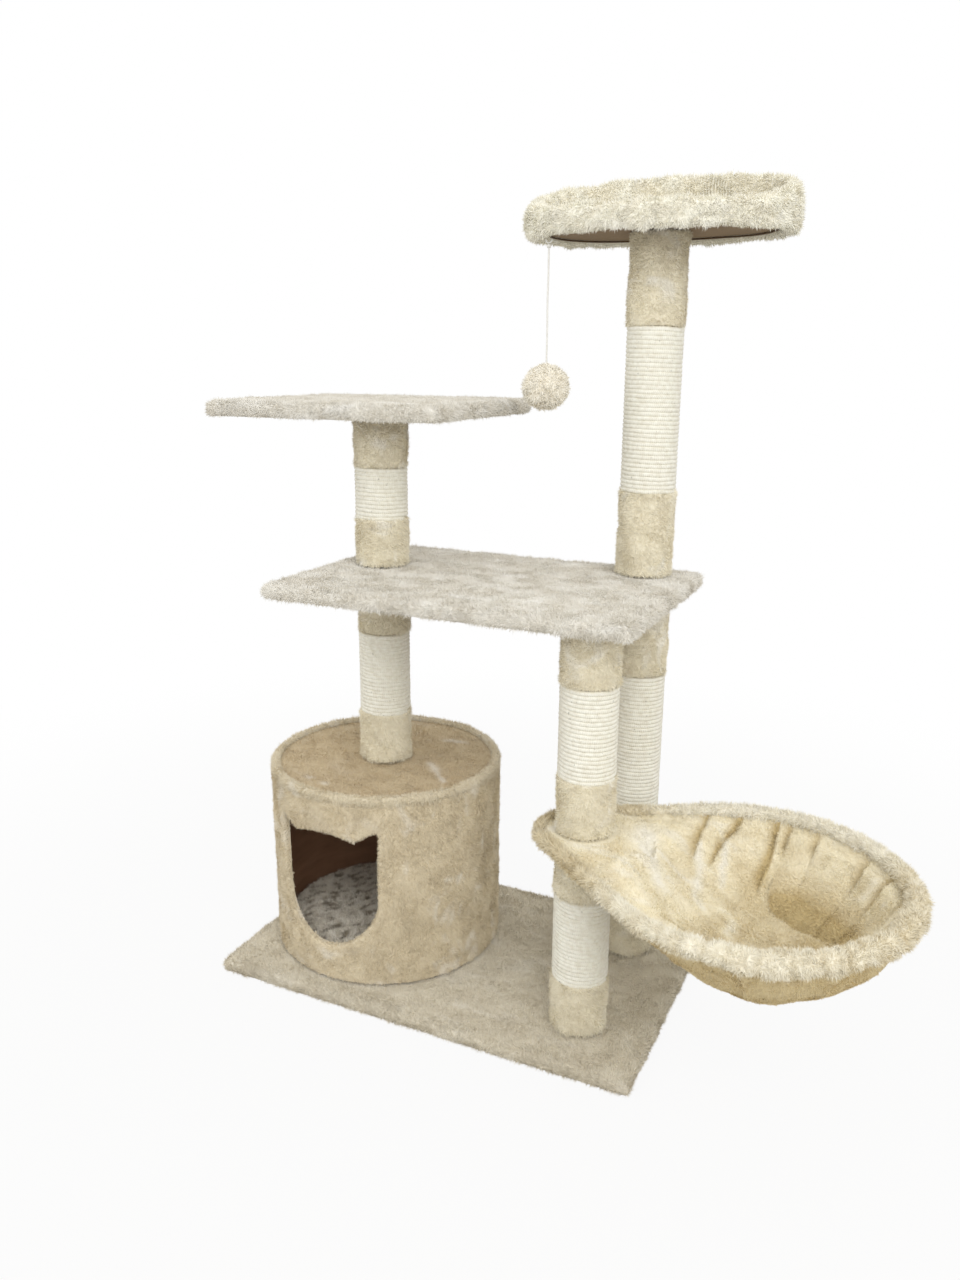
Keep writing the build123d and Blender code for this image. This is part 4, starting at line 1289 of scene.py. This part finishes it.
def basket_bowl(basket):
    """Skin of the cloth bowl: a hammock that falls from the hoop to a long floor, in gathers."""
    count, levels, floor_rows = 560, 26, 8
    line = hoop_line(basket, 0.006, count)
    hoop_length = sum((b - a).length for a, b in zip(line, line[1:] + line[:1]))
    place = basket_frame(basket)

    def depth_at(x, side):
        """Depth of the floor below the hoop: nothing at the post, less on the near side."""
        part = min(max((x - 0.062 + 0.014 * side) / 0.170, 0.0), 1.0)
        return basket.depth * math.sin(math.pi / 2 * part)

    def fall(p, part, pleat, fold):
        """Points and tones down the line that the cloth takes from the hoop to the floor."""
        x = basket.reach + 0.010 + (p.x - basket.reach) * (0.95 if p.x < basket.reach else 0.45)
        x = max(x, 0.078)
        foot = Vector((x, 0.42 * p.y, -depth_at(x, min(max(p.y / 0.060, -1.0), 1.0))))
        keel = Vector((basket.reach + (x - basket.reach) * 0.9, 0, -depth_at(x, 0.0) - 0.004))
        way = Vector((p.x - foot.x, p.y - foot.y, 0)).normalized()
        far = smooth_step(p.x, 0.02, 0.15)
        knee = p.lerp(foot, 0.40 - 0.24 * far)
        knee.z = foot.z * (0.30 + 0.46 * far)
        run = []
        for j in range(levels + floor_rows + 1):
            v = min(j / levels, 1.0)
            spot = p * (1 - v) ** 2 + knee * (2 * v * (1 - v)) + foot * v**2
            if j > levels:
                spot = foot.lerp(keel, (j - levels) / floor_rows)
            drift = 0.006 * wobble((part * 30, v * 1.6, 0), 1.0, 47) * v
            proud, groove = gather(part + drift, v, hoop_length)
            proud += 0.08 * (1 - 2.4 * abs(wobble((part * 26, v * 2.0, 9), 1.0, 66)))
            swell = pleat * proud * smooth_step(v, 0.03, 0.16) * (1 - smooth_step(v, 0.7, 1.0))
            swell *= (0.30 + 0.70 * far) * (0.85 + 0.4 * wobble((part * 14, v * 1.2, 3), 1.0, 43))
            off = beside(FOLD, spot.x, spot.y) if fold else 0.0
            over = fold * smooth_step(off, -0.003, 0.004) * smooth_step(v, 0.15, 0.45)
            spot += Vector((-way.x, -way.y, 0.45)) * swell
            spot += UP * (0.016 * over * (0.4 + 0.6 * far))
            spot += UP * (0.0035 * wobble(spot, 0.040, 45))
            # The outside is darkened all over with tone -0.9: painted shade on the bowl's underside
            if not fold:
                run.append((spot, -0.9))
                continue
            # Tones inside: painted shade in the pocket, in the creases, over the floor and at the far end; random
            # tone; pale streaks of crushed pile painted as their sheen
            pocket_shade = smooth_step(-off, -0.002, 0.012) * smooth_step(v, 0.35, 0.8) * smooth_step(p.x, 0.12, 0.2)
            tone = -0.75 * pocket_shade - 1.3 * groove**2 * (0.4 + 0.6 * far)
            tone -= 0.50 * smooth_step(v, 0.35, 0.9) * smooth_step(spot.x, 0.12, 0.2)
            tone -= 0.15 * smooth_step(p.x, 0.27, 0.34) * smooth_step(v, 0.05, 0.3)
            tone += 0.25 * wobble(spot, 0.022, 62)
            for streak, wide in STREAKS:
                bent = 0.006 * wobble(spot, 0.018, 63)
                near = math.exp(-(((beside(streak, spot.x, spot.y) + bent) / wide) ** 2))
                tone += 0.85 * near * smooth_step(v, 0.04, 0.12)
            run.append((spot, min(tone, 0.9)))
        return run

    def clear_post(spot, level):
        """Flatten the cloth where it is clamped between the two posts."""
        held = 1 - smooth_step(math.hypot(spot.x, spot.y), 0.057, 0.082)
        return Vector((spot.x, spot.y, spot.z + (level - spot.z) * held))

    inner = [fall(p, i / count, basket.pleat, 1.0) for i, p in enumerate(line)]
    outer = [fall(p, i / count, basket.pleat * 0.25, 0.0) for i, p in enumerate(line)]
    rows, weights, tones = [], [], []
    depth_count = levels + 1 + floor_rows
    half_plate, clamped = 0.0046, 0.041
    for j in range(depth_count):
        row = []
        for i in range(count):
            p = clear_post(inner[i][j][0], half_plate)
            row.append(place @ p)
            weights.append(0.0 if math.hypot(p.x, p.y) < clamped or j == 0 else 1.0)
            tones.append(inner[i][j][1])
        rows.append(row)
    for j in range(depth_count - 1, -1, -1):
        row = []
        for i in range(count):
            p = outer[i][j][0]
            foot = outer[i][levels][0]
            way = Vector((line[i].x - foot.x, line[i].y - foot.y, 0)).normalized()
            wall = 1 - smooth_step(j, levels * 0.55, levels * 0.95)
            out = (way * wall + UP * (wall * 0.85 - 1)).normalized()
            p = clear_post(p + out * 0.0070 * smooth_step(j, 0, 3), -half_plate)
            row.append(place @ p)
            weights.append(0.0 if math.hypot(p.x, p.y) < clamped or j == 0 else 0.75)
            tones.append(outer[i][j][1])
        rows.append(row)
    rows.append(rows[0])
    weights += weights[:count]
    tones += tones[:count]
    points, faces, corner_map = grid(rows)
    slit = range((depth_count - 1) * count, depth_count * count)
    corner_map = [spot for n in range(len(faces)) if n not in slit for spot in corner_map[4 * n : 4 * n + 4]]
    faces = [face for n, face in enumerate(faces) if n not in slit]
    cloth = skin("basket_bowl_cloth", points, faces, corner_map, weights, tones)
    shape = bmesh.new()
    shape.from_mesh(cloth.data)
    bmesh.ops.remove_doubles(shape, verts=shape.verts, dist=1e-4)
    shape.to_mesh(cloth.data)
    shape.free()
    return cloth


class CATTREE_OT_basket(Operator):
    """Sew the basket's gathered bowl and the roll round its hoop"""

    bl_idname = "cat_tree.basket"
    bl_label = "Basket"

    def execute(self, context):
        plush, basket = context.scene.cat_plush, context.scene.cat_basket
        material = plush_material("Honey plush", plush.honey, shade=0.92, patch=0.05, brushed=0.5)
        bowl = basket_bowl(basket)
        bowl.data.materials.append(material)
        pile = new_piece("basket_bowl_pile", bowl.data.copy())
        grow_pile(pile, material, 71, length=plush.length * 0.62, lean=1.9, fall=-0.3, skin_kept=False)
        settle(pile, "basket", ["basket_fabric"])
        settle(bowl, "basket", ["basket_fabric"])
        roll = basket_roll(basket)
        cream = plush_material("Roll plush", (0.97, 0.93, 0.80), shade=0.88, patch=0.02, brushed=0.4)
        grow_pile(roll, cream, 72, length=plush.shag * 0.66, lean=1.25, density=0.9, width=1.1, swirl=0.4)
        settle(roll, "basket", ["basket_roll"])
        return {"FINISHED"}


# Perch


def perch_line(perch, inset, count):
    """The perch's oval outline about its middle, inset from its edge."""
    end = perch.length / 2 - perch.end_radius
    half_width = perch.width / 2 - inset
    end_radius = perch.end_radius - inset
    spare = half_width - end_radius
    depth = (end**2 - spare**2) / (2 * spare)
    side_radius = half_width + depth
    slope = math.atan2(depth, end)
    line = []
    for side in (1, -1):
        for i in range(61):
            angle = -slope + 2 * slope * i / 60
            p = Vector((end + end_radius * math.cos(angle), end_radius * math.sin(angle), 0))
            line.append(p * side)
        for i in range(1, 60):
            angle = slope + (math.pi - 2 * slope) * i / 60
            p = Vector((side_radius * math.cos(angle), side_radius * math.sin(angle) - depth, 0))
            line.append(p * side)
    return evenly(line, count)


def perch_rim(perch):
    """Skin of the stuffed rim: low in front, high at the back, with gathers inside."""
    low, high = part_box("perch_rim")
    count, sides = 420, 28
    line = perch_line(perch, perch.wall / 2, count)
    back = perch.width / 2
    rows, weights, tones = [], [], []
    for i, p in enumerate(line):
        out = outward(line, i)
        full = out * 0.005 * smooth_step(-p.x, 0.07, 0.15)
        start = -perch.ramp - 0.015 * smooth_step(-p.x, 0.05, 0.14)
        rise = min(max(0.0, (p.y - start) / (back - 0.008 - start)), 1.0)
        top = low.z + perch.front + (high.z - low.z - perch.front) * rise
        foot = low.z + 0.0055
        half_tall = (top - 0.0060 - foot) / 2
        half_wide = perch.wall / 2 - 0.0045
        gathered = smooth_step(p.y, 0.01, 0.06) * smooth_step(p.x, -0.01, 0.03)
        row = []
        for j in range(sides):
            angle = -2 * math.pi * j / sides
            c, s = math.cos(angle), math.sin(angle)
            wide = half_wide * math.copysign(abs(c) ** 0.75, c)
            tall = half_tall * math.copysign(abs(s) ** 0.65, s)
            spot = p + out * wide + full * smooth_step(c, -0.4, 0.4) + UP * (foot + half_tall + tall)
            swell = 0.0030 * wobble(spot, 0.030, 51) + 0.0018 * wobble(spot, 0.011, 53)
            inner = smooth_step(-c, 0.2, 0.7)
            wave = math.sin(i * 1.55 + 1.4 * wobble(spot, 0.03, 55))
            swell += 0.0036 * gathered * inner * (1 - abs(wave)) - 0.001 * gathered * inner
            hem = smooth_step(-s, 0.1, 0.6) * smooth_step(c, -0.1, 0.5)
            swell += 0.0060 * hem * max(wobble(spot, 0.015, 54), 0.0)
            normal = (out * c + UP * s).normalized()
            row.append(REAR_COLUMN + spot + normal * swell)
            weights.append((1 - 0.35 * inner) * (1 - 0.55 * smooth_step(-s, 0.5, 0.9) * (1 - hem)))
            # Tones on the rim's inner side: painted shade in the creases of the gathers, and darker patches towards
            # the back
            inner_patches = smooth_step(wobble(spot, 0.028, 58), -0.25, 0.35) * smooth_step(p.y, 0.0, 0.05)
            tones.append(inner * (-0.55 * gathered * abs(wave) ** 3 - 0.22 * inner_patches * (1 - gathered)))
        rows.append(row)
    return ring_skin("perch_rim_plush", rows, weights, tones)


def oval_rows(perch, profile, lumps, count=140):
    """Rows of points of an oval piece: each row's inset share and height."""
    rows = []
    line = perch_line(perch, perch.wall, count)
    for part, height in profile:
        row = []
        for p in line:
            spot = REAR_COLUMN + p * (1 - part) + UP * height
            row.append(spot + UP * (lumps * wobble(spot, 0.03, 57)))
        rows.append(row)
    return rows


class CATTREE_OT_perch(Operator):
    """Stuff the perch's rim and lay its pad"""

    bl_idname = "cat_tree.perch"
    bl_label = "Perch"

    def execute(self, context):
        plush, perch = context.scene.cat_plush, context.scene.cat_perch
        material = plush_material("Cream plush", plush.cream, shade=0.90, patch=0.016, tuft=0.006, brushed=0.5)
        rim = perch_rim(perch)
        long_pile = plush.shag * 0.66
        grow_pile(rim, material, 81, lean=1.35, length=long_pile, density=0.75, width=1.3, fall=-0.25, swirl=0.5)
        settle(rim, "stand", ["perch_rim"])
        low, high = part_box("perch_pad")
        top = high.z - 0.003
        profile = [(0.9, low.z), (0.0, low.z), (0.0, top - 0.0015), (0.012, top)]
        profile += [(0.1 + 0.22 * i, top) for i in range(5)]
        pad = row_skin("perch_pad_plush", oval_rows(perch, profile, 0.0008), 1.0)
        grow_pile(pad, material, 82, lean=1.4)
        settle(pad, "stand", ["perch_pad"])
        return {"FINISHED"}


# Linings


class CATTREE_OT_linings(Operator):
    """Close the undersides of boards and perch with lining"""

    bl_idname = "cat_tree.linings"
    bl_label = "Linings"

    def execute(self, context):
        perch = context.scene.cat_perch
        material = lining_material()
        for name in ("base", "mid", "upper"):
            low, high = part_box(name + "_lining")
            shape = bmesh.new()
            bmesh.ops.create_grid(shape, x_segments=48, y_segments=36, size=0.5)
            for vertex in shape.verts:
                edge = 1 - max(abs(vertex.co.x), abs(vertex.co.y)) * 2
                x = (low.x + high.x) / 2 + vertex.co.x * (high.x - low.x)
                y = (low.y + high.y) / 2 + vertex.co.y * (high.y - low.y)
                vertex.co = Vector((x, y, low.z + 0.0009))
                vertex.co.z += 0.0005 * wobble(vertex.co, 0.05, 61) * min(1.0, edge * 8)
            for face in shape.faces:
                face.normal_flip()
            piece = new_piece(name + "_underside", plain_mesh(shape, name + "_underside"))
            piece.data.materials.append(material)
            settle(piece, "stand", [name + "_lining"])
        low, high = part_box("perch_lining")
        parts = [0.1 * i for i in range(10)] + [0.985]
        rows = oval_rows(perch, [(part, low.z + 0.0008) for part in parts], 0.0003)
        sheet = row_skin("perch_underside", [row[::-1] for row in rows], 0.0)
        sheet.data.materials.append(material)
        edge = perch_line(perch, perch.wall, 140)
        settle(sheet, "stand", ["perch_lining"])

        # A thin dark cord under the edge of the perch's lining: painted shadow, standing in for the shadow line under
        # the rim
        line = perch_line(perch, perch.wall + 0.0012, 200)
        rows = []
        for i, p in enumerate(line):
            out = outward(line, i)
            row = []
            for j in range(8):
                angle = -2 * math.pi * j / 8
                side = out * math.cos(angle) * 0.0013 + UP * (math.sin(angle) * 0.0011)
                row.append(REAR_COLUMN + p + side + UP * (low.z - 0.0006))
            rows.append(row)
        shadow_cord = ring_skin("perch_binding", rows, [0.0] * (8 * len(rows)))
        shadow_cord.data.materials.append(
            grain_material("Dark binding", (0.16, 0.11, 0.07), (0.10, 0.065, 0.04), (300.0, 300.0, 300.0), 0.9)
        )
        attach(shadow_cord, "stand")
        return {"FINISHED"}


# Toy


class CATTREE_OT_toy(Operator):
    """Hang the pompom on its string"""

    bl_idname = "cat_tree.toy"
    bl_label = "Pompom"

    def execute(self, context):
        toy = context.scene.cat_toy
        thread = grain_material(
            "White string", (0.90, 0.89, 0.85), (0.72, 0.70, 0.65), (900.0, 900.0, 300.0), 0.8, bump=0.0002
        )
        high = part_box("toy_string")[1]
        top = centre_of("toy_string") + UP * high.z
        curve = bpy.data.curves.new("toy_string_line", "CURVE")
        curve.dimensions = "3D"
        curve.bevel_depth = toy.thread / 2
        curve.bevel_resolution = 3
        curve.use_fill_caps = True
        curve.resolution_u = 6
        spline = curve.splines.new("NURBS")
        spline.points.add(5)
        for i, point in enumerate(spline.points):
            sway = 0.0007 * math.sin(2.2 * i) if 0 < i < 5 else 0.0
            spot = top + Vector((sway, -sway, -toy.string * i / 5))
            point.co = (*spot, 1)
        spline.order_u = 3
        spline.use_endpoint_u = True
        curve.materials.append(thread)
        string = bpy.data.objects.new("toy_string_cord", curve)
        context.scene.collection.objects.link(string)

        low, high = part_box("toy_pompom")
        middle = (low + high) / 2
        half = (high - low) / 2
        ball = bmesh.new()
        bmesh.ops.create_icosphere(ball, subdivisions=5, radius=half.z * 0.88)
        for vertex in ball.verts:
            lump = 1 + 0.05 * wobble(vertex.co, 0.012, 71) + 0.05 * wobble(vertex.co, 0.005, 73)
            vertex.co = middle + Vector((vertex.co.x * 1.05, vertex.co.y * 1.05, vertex.co.z)) * lump
        mesh = plain_mesh(ball, "pompom_yarn")
        layer = mesh.uv_layers.new(name=SKIN_MAP)
        for corner in mesh.loops:
            spot = (mesh.vertices[corner.vertex_index].co - middle).normalized()
            side = 0.25 if spot.y > 0 else 0.75
            layer.uv[corner.index].vector = (side + 0.24 * spot.x, 0.5 + 0.48 * spot.z)
        weigh(mesh, [1.0] * len(mesh.vertices))
        pompom = new_piece("pompom_yarn", mesh)
        yarn = plush_material("Cream yarn", toy.yarn, shade=0.94, patch=0.012, tuft=0.003, brushed=0.2)
        grow_pile(pompom, yarn, 91, length=half.z * 0.20, lean=1.7, density=0.8, width=1.5, swirl=0.3)
        settle(pompom, "toy", ["toy_pompom"])

        settle(string, "toy", ["toy_string"])

        low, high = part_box("toy_knot")
        middle = (low + high) / 2
        knot = bmesh.new()
        bmesh.ops.create_icosphere(knot, subdivisions=3, radius=(high.z - low.z) / 2)
        for vertex in knot.verts:
            coil = 1 + 0.10 * math.sin(9 * math.atan2(vertex.co.y, vertex.co.x) + 1700 * vertex.co.z)
            vertex.co = middle + Vector((vertex.co.x * coil, vertex.co.y * coil, vertex.co.z))
        tied = new_piece("toy_knot_thread", plain_mesh(knot, "toy_knot_thread"))
        tied.data.materials.append(thread)
        settle(tied, "toy_hanger", ["toy_knot"])

        low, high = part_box("toy_eye")
        middle = centre_of("toy_eye") + UP * high.z
        reach = (high.x - low.x) / 2 - 0.0009
        rows = []
        for i in range(25):
            angle = math.pi + math.pi * i / 24
            out = Vector((math.cos(angle), 0, math.sin(angle)))
            row = []
            for j in range(8):
                turn = 2 * math.pi * j / 8
                size = 0.00085 * (1 + 0.12 * math.sin(3 * turn + 2.4 * i))
                row.append(middle + out * (reach + size * math.cos(turn)) + Vector((0, size * math.sin(turn), 0)))
            rows.append(row)
        eye = row_skin("toy_eye_thread", rows, 0.0)
        eye.data.materials.append(thread)
        settle(eye, "stand", ["toy_eye"])
        return {"FINISHED"}


# Boards, tubes and fasteners


class CATTREE_OT_carcass(Operator):
    """Finish the boards, tubes and fasteners under the plush"""

    bl_idname = "cat_tree.carcass"
    bl_label = "Boards and fasteners"

    def execute(self, context):
        finish = {
            "chipboard": ("Chipboard", (0.66, 0.50, 0.32), (0.40, 0.28, 0.16), (90.0, 90.0, 90.0), 0.8),
            "plug_wood": ("Plug wood", (0.68, 0.52, 0.33), (0.47, 0.33, 0.19), (70.0, 70.0, 9.0), 0.7),
            "cardboard_tube": ("Brown tube", (0.48, 0.35, 0.22), (0.36, 0.25, 0.15), (40.0, 40.0, 160.0), 0.85),
            "brown_card": ("Dark card", (0.36, 0.20, 0.12), (0.26, 0.14, 0.08), (16.0, 16.0, 60.0), 0.6, 0.0002),
            "zinc_steel": (
                "Zinc steel", (0.66, 0.66, 0.64), (0.50, 0.50, 0.49), (60.0, 60.0, 700.0), 0.36, 0.00005, 1.0
            ),
        }
        finish = {slot: grain_material(*values) for slot, values in finish.items()}
        for part in frame["record"]["subparts"]:
            material = finish.get(part["material_slot"])
            if material is not None:
                mesh = frame["nodes"][part["node"]].data
                mesh.materials.clear()
                mesh.materials.append(material)
        return {"FINISHED"}


# Stage


class CATTREE_OT_stage(Operator):
    """Set up floor, light and camera"""

    bl_idname = "cat_tree.stage"
    bl_label = "Stage"

    def execute(self, context):
        scene, stage = context.scene, context.scene.cat_stage
        scene.view_settings.view_transform = "Standard"

        world = bpy.data.worlds.new("Studio")
        scene.world = world
        world.use_nodes = True
        tree = world.node_tree
        tree.nodes.clear()
        values = {"Factor": background_rays(tree), 2: stage.sky, 3: 1.0}
        strength = result_of(tree, "ShaderNodeMix", values, data_type="FLOAT")
        sky = result_of(tree, "ShaderNodeBackground", {"Color": WHITE, "Strength": strength})
        add_node(tree, "ShaderNodeOutputWorld", {"Surface": sky})

        shape = bmesh.new()
        bmesh.ops.create_grid(shape, x_segments=1, y_segments=1, size=12)
        mesh = plain_mesh(shape, "studio_floor")
        material, shader = shader_of("Studio floor", 0.9)
        tree = material.node_tree
        shader.inputs["Base Color"].default_value = (0.62, 0.61, 0.59, 1)
        glow = result_of(tree, "ShaderNodeEmission", {"Color": WHITE, "Strength": 1.0})
        away = vectors(tree, "LENGTH", object_place(tree))
        share = spread(tree, away, 0.5, 1.6, (0.92, 1.0), "SMOOTHSTEP")
        share = maths(tree, "MULTIPLY", background_rays(tree), share)
        mix = result_of(tree, "ShaderNodeMixShader", {0: share, 1: shader.outputs[0], 2: glow})
        tree.links.new(mix, tree.nodes["Material Output"].inputs["Surface"])
        mesh.materials.append(material)
        floor = new_piece("studio_floor", mesh)

        aim = Vector((0.05, 0, 0.5))
        key = ("Key lamp", (1.5, -1.9, 2.0), stage.key, 2.0)
        fill = ("Fill lamp", (-1.9, -1.5, 1.7), stage.fill, 1.8)
        for name, place, power, size in (key, fill):
            light = bpy.data.lights.new(name, "AREA")
            light.energy = power
            light.size = size
            lamp = bpy.data.objects.new(name, light)
            lamp.location = place
            lamp.rotation_euler = (aim - Vector(place)).to_track_quat("-Z", "Y").to_euler()
            scene.collection.objects.link(lamp)

        turn, tilt, roll = stage.turn, stage.tilt, stage.roll
        ahead = Vector((-math.sin(turn) * math.cos(tilt), math.cos(turn) * math.cos(tilt), -math.sin(tilt)))
        right = Vector((math.cos(turn), math.sin(turn), 0))
        down = ahead.cross(right)
        across = right * math.cos(roll) + down * math.sin(roll)
        below = down * math.cos(roll) - right * math.sin(roll)
        data = bpy.data.cameras.new("Photo camera")
        data.lens = stage.lens
        data.sensor_width = 36.0
        camera = bpy.data.objects.new("Photo camera", data)
        axes = Matrix((across, -below, -ahead)).transposed().to_4x4()
        camera.matrix_world = Matrix.Translation(Vector(stage.eye)) @ axes
        scene.collection.objects.link(camera)
        scene.camera = camera
        return {"FINISHED"}


class CATTREE_PT_panel(Panel):
    """Steps that dress the cat tree"""

    bl_label = "Cat Tree"
    bl_idname = "CATTREE_PT_panel"
    bl_space_type = "VIEW_3D"
    bl_region_type = "UI"
    bl_category = "Cat Tree"

    def draw(self, context):
        for step in STEPS:
            self.layout.operator(step.bl_idname)


STEPS = (
    CATTREE_OT_stage,
    CATTREE_OT_toy,
    CATTREE_OT_carcass,
    CATTREE_OT_boards,
    CATTREE_OT_linings,
    CATTREE_OT_sleeves,
    CATTREE_OT_ropes,
    CATTREE_OT_house,
    CATTREE_OT_cushion,
    CATTREE_OT_basket,
    CATTREE_OT_perch,
)
SETTINGS = {
    "cat_plush": PlushSettings,
    "cat_rope": RopeSettings,
    "cat_house": HouseSettings,
    "cat_basket": BasketSettings,
    "cat_perch": PerchSettings,
    "cat_toy": ToySettings,
    "cat_stage": StageSettings,
}


def register():
    """Make the settings, the steps and the panel known to Blender."""
    for group in SETTINGS.values():
        bpy.utils.register_class(group)
    for step in STEPS:
        bpy.utils.register_class(step)
    bpy.utils.register_class(CATTREE_PT_panel)
    for name, group in SETTINGS.items():
        setattr(bpy.types.Scene, name, PointerProperty(type=group))


def unregister():
    """Take the panel, the steps and the settings away again."""
    for name in SETTINGS:
        delattr(bpy.types.Scene, name)
    bpy.utils.unregister_class(CATTREE_PT_panel)
    for step in reversed(STEPS):
        bpy.utils.unregister_class(step)
    for group in reversed(SETTINGS.values()):
        bpy.utils.unregister_class(group)


def main():
    """Run every step in order."""
    register()
    for step in STEPS:
        getattr(bpy.ops.cat_tree, step.bl_idname.split(".")[1])()
    bpy.context.view_layer.update()


if __name__ == "__main__":
    main()
